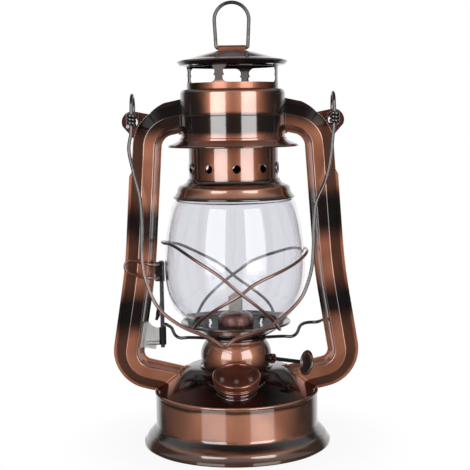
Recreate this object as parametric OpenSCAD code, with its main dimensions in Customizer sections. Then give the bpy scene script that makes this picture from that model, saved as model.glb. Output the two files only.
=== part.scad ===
// Hurricane lantern with a wick burner, a raised glass globe and two side tubes.
// Millimetres. The foot stands on z = 0 with the lamp's axis on Z, and the filler cap faces -Y.

/* [Tank] */
// Radius of the rolled bead at the foot
base_r = 57.5; // [55:0.5:60]
// Height of the flared foot
foot_h = 12.6; // [11:0.2:15]
// Radius of the tank wall
tank_r = 50; // [48:0.5:52]
// Height of the straight tank wall
wall_h = 19.6; // [16:0.2:26]
// Rise of the domed tank top
dome_h = 15.1; // [13:0.2:17]
// Radius where the dome meets its flat shelf
shelf_r = 29.8; // [28:0.2:32]
// Thickness of the pressed sheet
sheet = 0.8; // [0.6:0.1:1]

/* [Filler] */
// Distance of the filler cap's top from the lamp's axis
filler_reach = 38; // [36:0.5:40]
// Forward tilt of the filler neck in degrees
filler_tilt = 19.4; // [15:0.2:24]
// Outer radius of the filler cap
filler_cap_r = 14.3; // [13:0.1:15]
// Height of the filler cap
filler_cap_h = 6; // [5.5:0.1:6.2]

/* [Burner] */
// Radius of the burner housing at its foot
housing_r = 21.8; // [21:0.1:23]
// Radius of the burner housing at its mouth
mouth_r = 18.4; // [17.8:0.1:19]
// Height of the burner housing above the shelf
housing_h = 19.4; // [17:0.1:21]
// Radius of the burner cone
cone_r = 11.3; // [10.4:0.1:11.6]
// Height of the burner cone above the housing
cone_h = 14.7; // [13:0.1:18]
// Width of the flat wick
wick_w = 9; // [7:0.5:11]
// Thickness of the flat wick
wick_t = 2.2; // [1.8:0.1:2.6]
// Height of wick that shows above the cone
wick_show = 12; // [5:0.5:13]
// Distance from the axis to the wick knob
knob_reach = 47.7; // [45:0.1:50]
// Radius of the wick knob
knob_r = 7.6; // [6.5:0.1:8.2]
// Direction of the wick shaft, in degrees from +X
shaft_turn = -34; // [-40:1:-28]
// Height of the wick shaft above the shelf
shaft_lift = 6.2; // [5.6:0.1:7]

/* [Globe] */
// Largest radius of the glass globe
globe_r = 42.8; // [41:0.1:43.4]
// Height of the glass globe
globe_h = 84.6; // [80:0.2:92]
// Thickness of the glass
glass = 1.5; // [1.2:0.1:1.8]
// Radius of the globe plate's rim
plate_r = 33.4; // [32.6:0.1:34.4]
// Depth of the dished globe plate
plate_h = 8; // [7.2:0.1:9]
// Travel of the globe when it is raised
globe_lift = 10; // [6:0.5:10]

/* [Chimney] */
// Radius of the chimney tube
chimney_r = 27.1; // [26.6:0.1:27.4]
// Height of the bell that holds the globe
bell_h = 11.2; // [10.4:0.1:13]
// How far the bell's lip stands out from the chimney
bell_flare = 9.4; // [8.7:0.1:10.1]
// Length of chimney between the bell and the hood
neck_h = 19.8; // [18.4:0.1:25]
// Number of round air holes
air_holes = 10; // [8:1:12]
// Diameter of an air hole
air_hole_d = 5; // [4:0.1:5.4]
// Height of the vent windows
window_h = 9.5; // [8.5:0.1:10]
// How far the cap stands out over the vent windows
cap_brim = 5.8; // [4.4:0.1:7]
// Rise of the cap from rim to flat top
cap_h = 6.5; // [5.6:0.1:8]
// Travel of the chimney above the globe
chimney_lift = 11; // [6:0.5:11]

/* [Hood] */
// Space between the chimney and the hood, which holds the spring
hood_clear = 4.6; // [4.4:0.1:5.3]
// Width of the flange at the foot of the hood
flange_w = 7.6; // [6.3:0.1:9.3]
// Height of the hood's lower half
skirt_h = 18.9; // [17:0.1:21]
// Height of the hood's upper half
drum_h = 15.3; // [14:0.1:18]

/* [Side tubes] */
// Width of a tube without its seam fins
tube_w = 15.6; // [14.5:0.1:16.5]
// Depth of a tube from front to back
tube_d = 16.4; // [15:0.1:17.4]
// Width of a seam fin
fin_w = 1.7; // [1.4:0.1:2]
// Space from the globe to the middle of a side tube at its upper bend
leg_clear = 10.15; // [9.8:0.05:12]
// Radius of the upper bend at the tube's middle
upper_bend_r = 17.2; // [17:0.1:18.4]
// Radius of the lower bend at the tube's middle
lower_bend_r = 14.6; // [14:0.1:16]
// Outward slope of the upper leg in degrees
leg_slope = 3.8; // [3:0.1:5]
// Outward slope of the lower leg in degrees
foot_slope = 9.2; // [8:0.1:10]

/* [Handles] */
// Thickness of the bail wire
bail_wire = 2.1; // [1.8:0.1:2.4]
// Radius of the bail's round eye
eye_r = 8.1; // [7.6:0.1:8.8]
// Diameter of the hole in an ear
ear_hole_d = 6.2; // [5.6:0.1:6.6]
// Forward lean of the hanging bail in degrees
bail_lean = 14; // [13:0.5:20]
// Thickness of the top loop's wire
loop_wire = 2.2; // [2:0.1:2.4]
// Height of the top loop above its hinge
loop_h = 27.2; // [24:0.2:32]
// Width of the top loop
loop_w = 20.8; // [19.5:0.1:23]

/* [Guard and lift] */
// Thickness of the guard wires
guard_wire = 1.9; // [1.6:0.1:2.1]
// Thickness of the lift wire
lift_wire_d = 2; // [1.8:0.1:2.2]
// Thickness of the upright lift rod
rod_d = 2.6; // [2.2:0.1:2.8]

/* [Hidden] */
$fn = 72;

// Colours of the finish
copper = [0.62, 0.36, 0.26];
smoke = [0.2, 0.11, 0.09];
soot = [0.09, 0.08, 0.08];
steel = [0.6, 0.58, 0.57];
clear_glass = [0.85, 0.88, 0.92, 0.35];
cotton = [0.9, 0.87, 0.8];
fibre = [0.45, 0.25, 0.2];

// Gap left between pieces that slide past each other
gap = 0.3;
// Radial clearance of a turning fit
fit = 0.05;
// Air left under a piece that rests on another
seat_gap = 0.05;

// Section of a side tube: seam fins, and the flats on its front and back
fin_t = 0.8;
fin_rest = 0.3;
fin_top = 2.6;
outer_flat = 1.2;
inner_flat = 5.8;

// Radii that follow from the chimney's
hood_r = chimney_r + hood_clear;
flange_r = hood_r + flange_w;
bell_r = chimney_r + bell_flare;
drum_r = chimney_r + 0.6;
cap_r = drum_r + cap_brim;

// Heights, stacked from the floor up
rim_z = foot_h + wall_h;
shelf_z = rim_z + dome_h;
mouth_z = shelf_z + housing_h;
plate_z = mouth_z + gap;
// The glass stands on the upper face of the plate's sloping wall
globe_foot_r = plate_r - 4.8;
plate_floor_r = plate_r - 14;
plate_lip = [2.4, 1.4];
wall_run = plate_r - plate_lip[0] - plate_floor_r;
wall_rise = plate_h - plate_lip[1];
wall_length = norm([wall_run, wall_rise]);
globe_z = plate_z + seat_gap
    + ((globe_foot_r - plate_floor_r) * wall_rise + sheet * wall_length) / wall_run;
globe_top_z = globe_z + globe_h;
bell_z = globe_top_z - 5.6;
neck_z = bell_z + bell_h;
hood_z = neck_z + neck_h;
flange_h = 3.8;
seam_z = hood_z + skirt_h;
hood_top_z = seam_z + drum_h;
window_z = hood_top_z + 3.6;
drum_top_z = window_z + window_h + 3.9;
cap_z = drum_top_z - 0.8;
cap_top_z = cap_z + cap_h;

// Rounded outline points about centre c, from angle a0 to a1
function arc(c, r, a0, a1, n = 8) = [
    for (i = [0 : n])
        let (a = a0 + (a1 - a0) * i / n)
        [c[0] + r * cos(a), c[1] + r * sin(a)]
];
function unit(v) = v / norm(v);
// Points from a to b on an arc that bulges s to the right of the way there
function bulge(a, b, s, n) =
    let (
        r = (pow(norm(b - a) / 2, 2) + s * s) / (2 * s),
        c = (a + b) / 2 + (r - s) * left_of(unit(b - a)),
        a0 = atan2(a[1] - c[1], a[0] - c[0]),
        a1 = atan2(b[1] - c[1], b[0] - c[0])
    )
    arc(c, r, a0, a1, n);
function left_of(v) = [-v[1], v[0]];
function reversed(p) = [for (i = [len(p) - 1 : -1 : 0]) p[i]];
function step(p, i) = unit(p[min(i + 1, len(p) - 1)] - p[min(i, len(p) - 2)]);
function mitre(p, i) =
    let (a = left_of(step(p, max(i - 1, 0))), b = left_of(step(p, i)), m = unit(a + b))
    m / (m * a);
// The same path moved to its left by t, which is inwards on a path that climbs
function inset(p, t) = [for (i = [0 : len(p) - 1]) p[i] + t * mitre(p, i)];

// A spun sheet-metal piece whose outer face follows the path
module spun(path, t = sheet)
    rotate_extrude() polygon(concat(path, reversed(inset(path, t))));

module ring(r, z, wire)
    translate([0, 0, z]) rotate_extrude() translate([r, 0]) circle(d = wire);

module washer(r_out, r_in, z, h)
    translate([0, 0, z]) linear_extrude(h) difference() {
        circle(r_out);
        circle(r_in);
    }

// A smooth curve through points, with n steps between neighbours
function blend_point(a, b, c, d, t) =
    0.5 * (2 * b + (c - a) * t + (2 * a - 5 * b + 4 * c - d) * t * t
        + (3 * b - a - 3 * c + d) * t * t * t);
function smooth_path(p, n) = concat(
    [for (i = [0 : len(p) - 2]) for (k = [0 : n - 1])
        blend_point(p[max(i - 1, 0)], p[i], p[i + 1], p[min(i + 2, len(p) - 1)], k / n)],
    [p[len(p) - 1]]
);
function tangent(p, i) = unit(p[min(i + 1, len(p) - 1)] - p[max(i - 1, 0)]);
// Each ring's first axis follows from the one before, so the tube doesn't twist
function frames(p, i = 0, last = undef) =
    i == len(p) ? [] :
    let (
        t = tangent(p, i),
        seed = is_undef(last) ? (abs(t[2]) < 0.8 ? [0, 0, 1] : [0, 1, 0]) : last,
        u = unit(seed - (seed * t) * t)
    )
    concat([[u, cross(t, u)]], frames(p, i + 1, u));

// Skins a row of rings that have as many points each
module lofted(rings) {
    k = len(rings[0]);
    last = (len(rings) - 1) * k;
    walls = [
        for (i = [0 : len(rings) - 2]) for (j = [0 : k - 1])
            let (m = (j + 1) % k, a = i * k, b = a + k)
            each [[a + j, b + m, a + m], [a + j, b + j, b + m]]
    ];
    ends = [[for (j = [0 : k - 1]) j], [for (j = [k - 1 : -1 : 0]) last + j]];
    polyhedron([for (r = rings) each r], concat(walls, ends));
}

// A round wire along points in space
module wire_along(p, d, sides = 8) {
    f = frames(p);
    lofted([
        for (i = [0 : len(p) - 1]) [
            for (k = [0 : sides - 1])
                let (a = 360 * k / sides)
                p[i] + d / 2 * (cos(a) * f[i][0] + sin(a) * f[i][1])
        ]
    ]);
}

// Points of a flat run made of moves: [length], or [radius, angle] with a left bend for an angle > 0
function heading(h) = [cos(h), sin(h)];
function bend_to(p, h, r, a) =
    let (s = sign(a), c = p + s * r * left_of(heading(h)))
    c - s * r * left_of(heading(h + a));
function track(p, h, moves, i = 0) =
    i == len(moves) ? [p] :
    let (m = moves[i])
    len(m) == 1 ? concat([p], track(p + m[0] * heading(h), h, moves, i + 1)) :
    let (n = ceil(abs(m[1]) / bend_step))
    concat(
        [for (k = [0 : n - 1]) bend_to(p, h, m[0], m[1] * k / n)],
        track(bend_to(p, h, m[0], m[1]), h + m[1], moves, i + 1)
    );
bend_step = 7.6;
// A ring square to a flat run at its point i; the outline's x is to the left of the run
function ring_at(p, i, outline) = [
    for (q = outline)
        let (m = mitre(p, i))
        [p[i][0] + q[0] * m[0], q[1], p[i][1] + q[0] * m[1]]
];
function disc(d, sides = 10) = [for (k = [0 : sides - 1]) d / 2 * heading(-360 * k / sides)];
module flat_wire(p, d)
    lofted([for (i = [0 : len(p) - 1]) ring_at(p, i, disc(d))]);

// Tank

foot_bead_h = 3;
// Width of the flat ring that the lamp stands on, with its rounded edge
foot_flat = 2.4;
foot_curve = concat(
    [[base_r - foot_flat, 0], [base_r - 0.6, 0], [base_r, 0.7], [base_r, foot_bead_h - 0.8]],
    [[base_r - 0.7, foot_bead_h]],
    arc([base_r - 6.7, foot_bead_h], 5.2, 20, 62, 6),
    arc([tank_r + 3.2, foot_h + 0.6], 3.2, 232, 180, 6)
);

// Rolled bead that joins the wall and the dome
rim_bead = 1.8;
rim_bead_r = tank_r - 0.3;
module tank_wall()
    color(copper) {
        spun(concat(foot_curve, [[tank_r, rim_z]]));
        ring(rim_bead_r, rim_z, rim_bead);
    }

bottom_z = 4;
module tank_bottom()
    color(smoke) translate([0, 0, bottom_z]) cylinder(r = base_r - 2.7, h = sheet);

burner_hole_r = 17;
dome_bulge = 1.2;
dome_r = rim_bead_r - rim_bead / 2 - seat_gap;
dome_curve = bulge([dome_r, rim_z + 0.4], [shelf_r, shelf_z], dome_bulge, 6);
dome_path = concat([[dome_r, rim_z - 2]], dome_curve, [[burner_hole_r, shelf_z]]);

filler_axis_top = [0, -filler_reach, shelf_z + 3];
neck_r = filler_cap_r - 2.7;
neck_bore_r = neck_r - 1.4;
neck_foot_r = filler_cap_r - 1.7;

// Puts its children in the filler's own frame, where z = 0 is the top of the cap
module on_filler()
    translate(filler_axis_top) rotate([filler_tilt, 0, 0]) children();

// The tank's outside, bead included, for what stands on it
module dome_solid(down = 20) {
    side = rim_bead_r + rim_bead / 2 + seat_gap;
    top = rim_z + rim_bead / 2 + seat_gap;
    rotate_extrude() polygon(concat(
        [[0, rim_z - down], [side, rim_z - down], [side, top], [dome_r, top]],
        dome_curve,
        [[0, shelf_z]]
    ));
}

module tank_top()
    color(smoke) difference() {
        spun(dome_path);
        on_filler() translate([0, 0, -30]) cylinder(r = neck_bore_r, h = 30);
    }

cap_plate = 1.7;
gasket_t = 1.1;
neck_top = -(cap_plate + gasket_t + 0.1);
module filler_neck()
    color(smoke) difference() {
        on_filler() difference() {
            union() {
                translate([0, 0, -22]) cylinder(r = neck_r, h = 22 + neck_top);
                translate([0, 0, -22]) cylinder(r = neck_foot_r, h = 22 - filler_cap_h - gap);
                for (z = [1.6, 4]) ring(neck_foot_r, -filler_cap_h - z, 1.3);
            }
            translate([0, 0, -40]) cylinder(r = neck_bore_r, h = 50);
        }
        dome_solid();
    }

module filler_gasket()
    color(fibre) on_filler() washer(neck_r, 6, neck_top + 0.05, gasket_t);

// Height of the cap's knurled band, and how far the skirt below lies inside it
cap_band = 3.4;
cap_step = 1.4;
module filler_cap()
    color(copper) on_filler() difference() {
        union() {
            translate([0, 0, -filler_cap_h]) cylinder(r = filler_cap_r - cap_step, h = filler_cap_h - 0.6);
            translate([0, 0, -cap_band]) cylinder(r = filler_cap_r - 0.5, h = cap_band - 0.6);
            translate([0, 0, -cap_band]) linear_extrude(cap_band - 1.4)
                for (i = [0 : 35])
                    rotate(i * 10) translate([filler_cap_r - 0.5, 0]) circle(0.5, $fn = 16);
            ring(filler_cap_r - 1.2, -1, 2);
            for (z = [0.5, 1.6]) ring(filler_cap_r - cap_step, z - filler_cap_h, 0.9);
        }
        translate([0, 0, -filler_cap_h - 1]) cylinder(r = neck_r + 0.35, h = filler_cap_h + 1 - cap_plate);
        translate([0, 0, -0.9]) cylinder(r = filler_cap_r - 2.4, h = 2);
    }

// Burner

module burner_collar()
    color(copper) washer(housing_r + 0.9, housing_r + seat_gap, shelf_z, 1.3);

housing_bulge_r = 14;
housing_t = 0.7;
housing_foot_z = shelf_z + housing_t + seat_gap;
housing_path = concat(
    [[housing_r - 0.2, housing_foot_z], [housing_r - 1.3, housing_foot_z]],
    arc([housing_r - housing_bulge_r, shelf_z + 7.4], housing_bulge_r, -26,
        acos((mouth_r - housing_r + housing_bulge_r) / housing_bulge_r), 10),
    [[mouth_r, mouth_z - 0.5]]
);

shaft_z = shelf_z + shaft_lift;
wheel_r = 3.4;
shaft_shift = wheel_r + wick_t / 2 + 0.1;
shaft_r = 1.2;
// Puts its children with +X out along the wick shaft
module on_shaft()
    rotate(shaft_turn) translate([0, shaft_shift, shaft_z]) children();
module along_x(h, r)
    rotate([0, 90, 0]) cylinder(r = r, h = h);

module burner_housing()
    color(copper) difference() {
        union() {
            spun(housing_path, housing_t);
            ring(mouth_r, mouth_z - 0.7, 1.4);
        }
        on_shaft() translate([10, 0, 0]) along_x(20, 2.4);
    }

deck_z = mouth_z - 2.4;
wick_slot_w = wick_w + 1.2;
wick_slot_t = wick_t + 1;
module flat_slot(w, t, z, h)
    translate([0, 0, z]) linear_extrude(h) square([w, t], center = true);

// Puts its children with +X along the wick's width
module on_wick()
    rotate(shaft_turn) children();

module burner_deck()
    color(smoke) difference() {
        union() {
            washer(mouth_r - 0.8, cone_r - 2.5, deck_z, 0.8);
            for (i = [0 : 7])
                rotate(i * 45 + 22.5) translate([(mouth_r + cone_r) / 2 + 0.4, 0, deck_z])
                    cylinder(r = 1, h = 1.4);
        }
        on_wick() flat_slot(wick_slot_w + 1.6, wick_slot_t + 1.6, deck_z - 1, 4);
    }

cone_t = 0.7;
cone_z = deck_z + 0.8 + cone_t + seat_gap;
cone_top_z = mouth_z + cone_h;
cone_path = concat(
    [[cone_r + 2, cone_z], [cone_r + 0.5, cone_z], [cone_r, cone_z + 0.5]],
    [[cone_r, cone_top_z - 7]],
    arc([cone_r - 6.5, cone_top_z - 6.5], 6.5, 5, 90, 8),
    [[0, cone_top_z]]
);
module burner_cone()
    color(copper) difference() {
        spun(cone_path, cone_t);
        on_wick() flat_slot(wick_w + 3, wick_t + 2.6, cone_top_z - 3, 6);
    }

tube_foot_z = shelf_z - 6;
module wick_tube()
    color(steel) on_wick() difference() {
        flat_slot(wick_slot_w + 1.2, wick_slot_t + 1.2, tube_foot_z, cone_top_z - 6 - tube_foot_z);
        flat_slot(wick_slot_w, wick_slot_t, tube_foot_z - 1, cone_top_z);
        // Window that lets the toothed wheels reach the wick
        translate([0, shaft_shift, shaft_z])
            cube([wick_w, 2 * (shaft_shift - 0.2), 2 * wheel_r + 1.4], center = true);
    }

// How far the wick winds down from where it stands
wick_drop = 8;
wick_foot_z = bottom_z + sheet + wick_drop + 1;
module wick()
    color(cotton) on_wick() {
        top_z = cone_top_z + wick_show;
        // The top edge is trimmed to a low peak
        translate([0, wick_t / 2, 0]) rotate([90, 0, 0]) linear_extrude(wick_t) polygon([
            [-wick_w / 2, wick_foot_z], [wick_w / 2, wick_foot_z],
            [wick_w / 2, top_z - wick_w / 3], [0, top_z], [-wick_w / 2, top_z - wick_w / 3]
        ]);
    }

bush_x = sqrt(pow(housing_r, 2) - pow(shaft_shift, 2)) - 1.2;
module shaft_bush()
    color(copper) on_shaft() difference() {
        translate([bush_x, 0, 0]) union() {
            along_x(4.4, 2.3);
            translate([2.3, 0, 0]) along_x(2.1, 3);
        }
        translate([bush_x - 5, 0, 0]) along_x(20, shaft_r + fit);
    }

module wick_shaft()
    color(soot) on_shaft()
        translate([-5, 0, 0]) along_x(knob_reach + 5 - 1, shaft_r);

// Two toothed wheels that grip the wick
module wick_wheels()
    color(steel) on_shaft()
        for (x = [-2.9, 1.7]) translate([x, 0, 0]) rotate([0, 90, 0]) linear_extrude(1.2)
            difference() {
                union() {
                    circle(wheel_r - 0.7);
                    for (i = [0 : 9])
                        rotate(i * 36) polygon([[wheel_r - 1, -0.55], [wheel_r, 0], [wheel_r - 1, 0.55]]);
                }
                circle(shaft_r);
            }

module wick_knob()
    color(copper) on_shaft() translate([knob_reach, 0, 0]) rotate([0, 90, 0]) {
        difference() {
            union() {
                rotate_extrude() polygon(concat(
                    [[0, -1.2], [3, -1.2], [knob_r - 1.2, -0.4], [knob_r - 0.4, -0.3]],
                    [[knob_r - 0.6, 0.6]],
                    arc([0, -8.6], 11, 54, 90, 6)
                ));
                ring(knob_r - 0.6, 0, 1.2);
            }
            translate([0, 0, -3]) cylinder(r = shaft_r, h = 2);
        }
        translate([0, 0, -3.4]) difference() {
            cylinder(r = 2.2, h = 2.2);
            translate([0, 0, -1]) cylinder(r = shaft_r, h = 4);
        }
    }

// Route and section of a side tube

tube_dip = 12;
foot_dip = 13.7;
tube_x0 = hood_r - 2.7;
tube_z0 = seam_z - 0.5;
bow_low = 35.2;
bow_high = 64.2;
bend_foot_z = rim_z + 27.6;
foot_run = 25.4;
// The outer fin stands wide as far as the ear, and is trimmed away behind it and for this length below
trimmed = 16;

// Straight length from the tube's end in the hood to the upper bend
tube_out = (globe_r + leg_clear - tube_x0 - upper_bend_r * (cos(leg_slope) - sin(tube_dip))) / cos(tube_dip);
upper_in = [tube_x0 + tube_out * cos(tube_dip), tube_z0 - tube_out * sin(tube_dip)];
upper_centre = upper_in - upper_bend_r * [sin(tube_dip), cos(tube_dip)];
upper_leave = upper_centre + upper_bend_r * [cos(leg_slope), sin(leg_slope)];
upper_leg = (upper_leave[1] - bend_foot_z - bow_high) / cos(leg_slope);
bow_r = (bow_high - bow_low) / (sin(foot_slope) - sin(leg_slope));
lower_leg = bow_low / cos(foot_slope);
lower_x = upper_leave[0] + upper_leg * sin(leg_slope)
    + bow_r * (cos(leg_slope) - cos(foot_slope)) + lower_leg * sin(foot_slope);

tube_route = track([tube_x0, tube_z0], -tube_dip, [
    [tube_out], [upper_bend_r, tube_dip + leg_slope - 90], [trimmed], [3], [upper_leg - trimmed - 3],
    [bow_r, (foot_slope - leg_slope) / 3], [bow_r, (foot_slope - leg_slope) / 3],
    [bow_r, (foot_slope - leg_slope) / 3], [lower_leg], [lower_bend_r, foot_dip - foot_slope - 90],
    [foot_run]
]);
// Front half of the tube's outer face, from the outer seam to the inner one
function tube_face(fin) =
    let (w = tube_w / 2, d = tube_d / 2)
    [
        [w + fin, 0], [w + fin, -fin_t], [w, -fin_t], [outer_flat, -d],
        [-inner_flat, -d], [-w, -fin_t], [-w - fin_w, -fin_t], [-w - fin_w, 0]
    ];
function tube_lining() =
    let (w = tube_w / 2 - sheet, d = tube_d / 2 - sheet)
    [[w, 0], [outer_flat - sheet / 3, -d], [sheet / 3 - inner_flat, -d], [-w, 0]];
function across(p) = [for (q = p) [q[0], -q[1]]];

// Globe and the pieces that rise with it

hub_r = cone_r + 0.7;
plate_rim_z = plate_z + plate_h;
plate_path = [
    [hub_r, plate_z + 2.4],
    [hub_r, plate_z],
    [plate_floor_r, plate_z],
    [plate_r - plate_lip[0], plate_rim_z - plate_lip[1]],
    [plate_r, plate_rim_z]
];
// Slots pressed through the sloping wall and holes in the floor of the plate
module globe_plate()
    color(soot) difference() {
        union() {
            rotate_extrude() polygon(concat(plate_path, reversed(inset(plate_path, sheet))));
            ring(plate_r - 0.2, plate_rim_z, 1.5);
        }
        for (i = [0 : 11])
            rotate(i * 30) translate([(hub_r + plate_floor_r) / 2, 0, plate_z - 1]) cylinder(r = 1.7, h = 4);
        for (i = [0 : 17])
            rotate(i * 20 + 10) translate([plate_r - 8, 0, plate_z]) cylinder(r = 1.3, h = 12);
    }

globe_throat_r = bell_r - 3.6;
// Height and radius along the glass, from the foot up
globe_curve = [
    [0, globe_foot_r], [0.04 * globe_h, globe_foot_r + 2.1], [0.126 * globe_h, globe_r - 5.7],
    [0.23 * globe_h, globe_r - 1.9], [0.339 * globe_h, globe_r - 0.2], [0.481 * globe_h, globe_r],
    [0.633 * globe_h, globe_r - 1.1], [0.774 * globe_h, globe_r - 3], [0.893 * globe_h, globe_r - 5.7],
    [globe_h - 5.4, globe_throat_r + 0.8], [globe_h - 3, globe_throat_r], [globe_h, globe_throat_r]
];
globe_path = smooth_path([for (q = globe_curve) [q[1], globe_z + q[0]]], 4);
module globe()
    color(clear_glass) spun(globe_path, glass);

// One wire of the guard: up one side of the globe, round it and down the other.
// Its legs give an angle from its corner and a height as a share of the globe's.
// The skew lifts the leg in front and lowers the one behind.
module guard(side, corner, lap, legs, skew) {
    function leg(s) = [
        [plate_r + 0.85 + guard_wire / 2, guard_foot, plate_rim_z - 1.2],
        [plate_r + 0.95 + guard_wire / 2, guard_foot - 4, plate_rim_z + 0.6],
        [guard_r + lap - 4.6, legs[3][0], plate_rim_z + legs[3][1] * globe_h + s / 3],
        [guard_r + lap, legs[2][0], plate_rim_z + legs[2][1] * globe_h + s],
        [guard_r + lap, legs[1][0], plate_rim_z + legs[1][1] * globe_h + s],
        [guard_r + lap / 3, legs[0][0], plate_rim_z + legs[0][1] * globe_h + s],
        [guard_r, 14, plate_rim_z + corner * globe_h - 0.5 + s / 3]
    ];
    turns = concat(
        [for (h = leg(skew)) [h[0], -h[1], h[2]]],
        [[guard_r + 0.2, 0, plate_rim_z + corner * globe_h]],
        reversed(leg(-skew))
    );
    mirror([side < 0 ? 1 : 0, 0, 0]) wire_along([
        for (h = smooth_path(turns, 4)) [h[0] * cos(h[1]), h[0] * sin(h[1]), h[2]]
    ], guard_wire);
}
guard_r = globe_r + guard_wire / 2 + 0.5;
// Angle between a wire's corner and its two feet on the plate
guard_foot = 139;
module guard_wire_left()
    color(copper) guard(-1, 0.592, guard_wire + 0.3, [[40, 0.558], [74, 0.409], [94, 0.255], [119, 0.089]], 2.6);
module guard_wire_right()
    color(copper) guard(1, 0.518, 0, [[38, 0.475], [72, 0.376], [88, 0.28], [116, 0.12]], -1.5);

rod_x = globe_r + 2.4;
arm_ring_r = plate_floor_r + 1.8;
arm_ring_z = plate_z - 0.4;
rod_rise = 46.5;
rod_top_z = plate_z + rod_rise;
guide_z = shelf_z + 14;
guide_h = 11.2;
// The rod still fills 3 mm of its guide when the globe is up
rod_foot_z = guide_z + guide_h - 3 - globe_lift;
arm_z = guide_z + guide_h + gap + lift_wire_d / 2;
arm_bend = [
    [29, 2, arm_ring_z - 0.9], [34.4, 0.4, arm_ring_z - 1.4], [37.6, 0, arm_ring_z + 0.5],
    [39.6, 0, (arm_ring_z + arm_z) / 2 + 1.2], [41.8, 0, arm_z - 0.7]
];
yoke_end = 24;
// Middle of a side tube at the height of the lift wire's arms
arm_tube_x = lower_x - (arm_z - bend_foot_z) * tan(foot_slope);
// The right arm goes round the back of the right tube, which guides it
lift_route = concat(
    [[0.1 - rod_x + rod_d / 2, 0, arm_z], [1 - rod_x + rod_d / 2, 0, arm_z]],
    [for (p = reversed(arm_bend)) [-p[0], -p[1], p[2]]],
    [for (i = [1 : 10])
        let (a = 180 + yoke_end + (180 - 2 * yoke_end) * (i - 1) / 9)
        [arm_ring_r * cos(a), arm_ring_r * sin(a), arm_ring_z]],
    [for (p = arm_bend) [p[0], -p[1], p[2]]],
    [
        [arm_tube_x - 18.6, 0, arm_z], [arm_tube_x - 14.2, 0.5, arm_z],
        [arm_tube_x - 11.7, 3.4, arm_z], [arm_tube_x - 9.8, 7, arm_z],
        [arm_tube_x - 6.2, tube_d / 2 + 2, arm_z], [arm_tube_x - 1.6, tube_d / 2 + 2.4, arm_z]
    ]
);

// One wire: from the lift rod, round the front of the burner under the plate, to the right tube
module lift_wire()
    color(soot) wire_along(smooth_path(lift_route, 2), lift_wire_d);

module lift_rod()
    color(soot) translate([-rod_x, 0, rod_foot_z]) cylinder(d = rod_d, h = rod_top_z - rod_foot_z);

// The knuckle is a strip folded round the rod; its leaf lies in front of the tube's inner fin
knuckle_h = 12;
knuckle_z = rod_top_z - knuckle_h - 0.6;
leaf_t = 0.8;
leaf_y = -(fin_t + 0.4);
leaf_w = 3.8;
module lift_knuckle()
    color(soot) difference() {
        union() {
            translate([-rod_x, 0, knuckle_z]) cylinder(r = rod_d / 2 + 0.7, h = knuckle_h);
            translate([-rod_x - leaf_w, leaf_y - leaf_t, knuckle_z]) cube([leaf_w, leaf_t, knuckle_h]);
        }
        translate([-rod_x, 0, knuckle_z - 1]) cylinder(d = rod_d, h = knuckle_h + 2);
    }

grip_wire = 1.8;
grip_low = knuckle_z + 2.2;
grip_high = knuckle_z + knuckle_h - 1.4;
grip_y = -(tube_d / 2 + 2.2);
// Finger loop of wire that reaches round the front of the left tube
module lift_grip()
    color(copper) {
        start = [-rod_x - 1.6, leaf_y - leaf_t - grip_wire / 2];
        grip_points = [
            [start[0], start[1], grip_low], [start[0] - 2, start[1] - 2.6, grip_low + 0.2],
            [-rod_x - 6, grip_y + 0.6, grip_low + 1], [-rod_x - 11.8, grip_y - 0.4, grip_low + 2.2],
            [-rod_x - 17.8, grip_y - 0.6, grip_low + 4], [-rod_x - 21, grip_y - 0.6, grip_low + 6.6],
            [-rod_x - 20.8, grip_y - 0.6, grip_high + 2], [-rod_x - 17.4, grip_y - 0.5, grip_high + 3.6],
            [-rod_x - 12.8, grip_y - 0.4, grip_high + 2.6], [-rod_x - 6, grip_y + 0.6, grip_high + 0.8],
            [start[0] - 2, start[1] - 2.6, grip_high], [start[0], start[1], grip_high]
        ];
        wire_along(smooth_path(grip_points, 3), grip_wire);
    }

// Springy leaf on the rod, bent down over the bracket
catch_z = guide_z + guide_h + 4;
module catch_strip()
    color(soot) translate([-rod_x - rod_d / 2, 1.4, catch_z]) rotate([90, 0, 0]) linear_extrude(2.8)
        polygon(concat(
            [[-seat_gap, 12], [-seat_gap, 3]],
            [[-1.7, 0], [-3.2, 0.4]],
            arc([6.8, 3.6], 9.4, 183, 140, 6)
        ));

// The bracket is a sheet folded over the facet of the left tube, with a sleeve for the rod
bracket_h = guide_h + 4.8;
bracket_x = lower_x - (guide_z - bend_foot_z) * tan(foot_slope);
bracket_t = 0.8;
module lift_bracket()
    color(steel) difference() {
        union() {
            translate([-rod_x, 0, guide_z]) cylinder(r = rod_d / 2 + 0.9, h = guide_h);
            mirror([1, 0, 0]) {
                translate([bracket_x, 0, guide_z]) rotate([0, -foot_slope, 0]) linear_extrude(bracket_h)
                    polygon(bracket_fold());
                translate([rod_x, 0, guide_z]) linear_extrude(guide_h)
                    translate([0, -fin_t - seat_gap - bracket_t]) square([6, bracket_t]);
                translate([rod_x + 2, -fin_t - bracket_t - 0.8, guide_z + 1.4]) along_x(7.6, 1.3);
            }
        }
        translate([-rod_x, 0, guide_z - 1]) cylinder(r = rod_d / 2 + fit, h = guide_h + 2);
        // The sheet's top edge sweeps down to the sleeve
        translate([-rod_x - 2, 5, guide_z + guide_h + 6.4]) rotate([90, 0, 0]) cylinder(r = 7, h = 10);
    }
// The fold in the tube's own plane: along the fin, then over the facet beside it
function bracket_fold() =
    let (
        fin = -tube_w / 2,
        reach = 0.55,
        face = [
            [rod_x + 4 - bracket_x, -fin_t - seat_gap], [fin, -fin_t - seat_gap],
            [fin + reach * (tube_w / 2 - inner_flat), -fin_t - seat_gap - reach * (tube_d / 2 - fin_t)]
        ]
    )
    concat(face, reversed(inset(face, -bracket_t)));

// Chimney and cap

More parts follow.
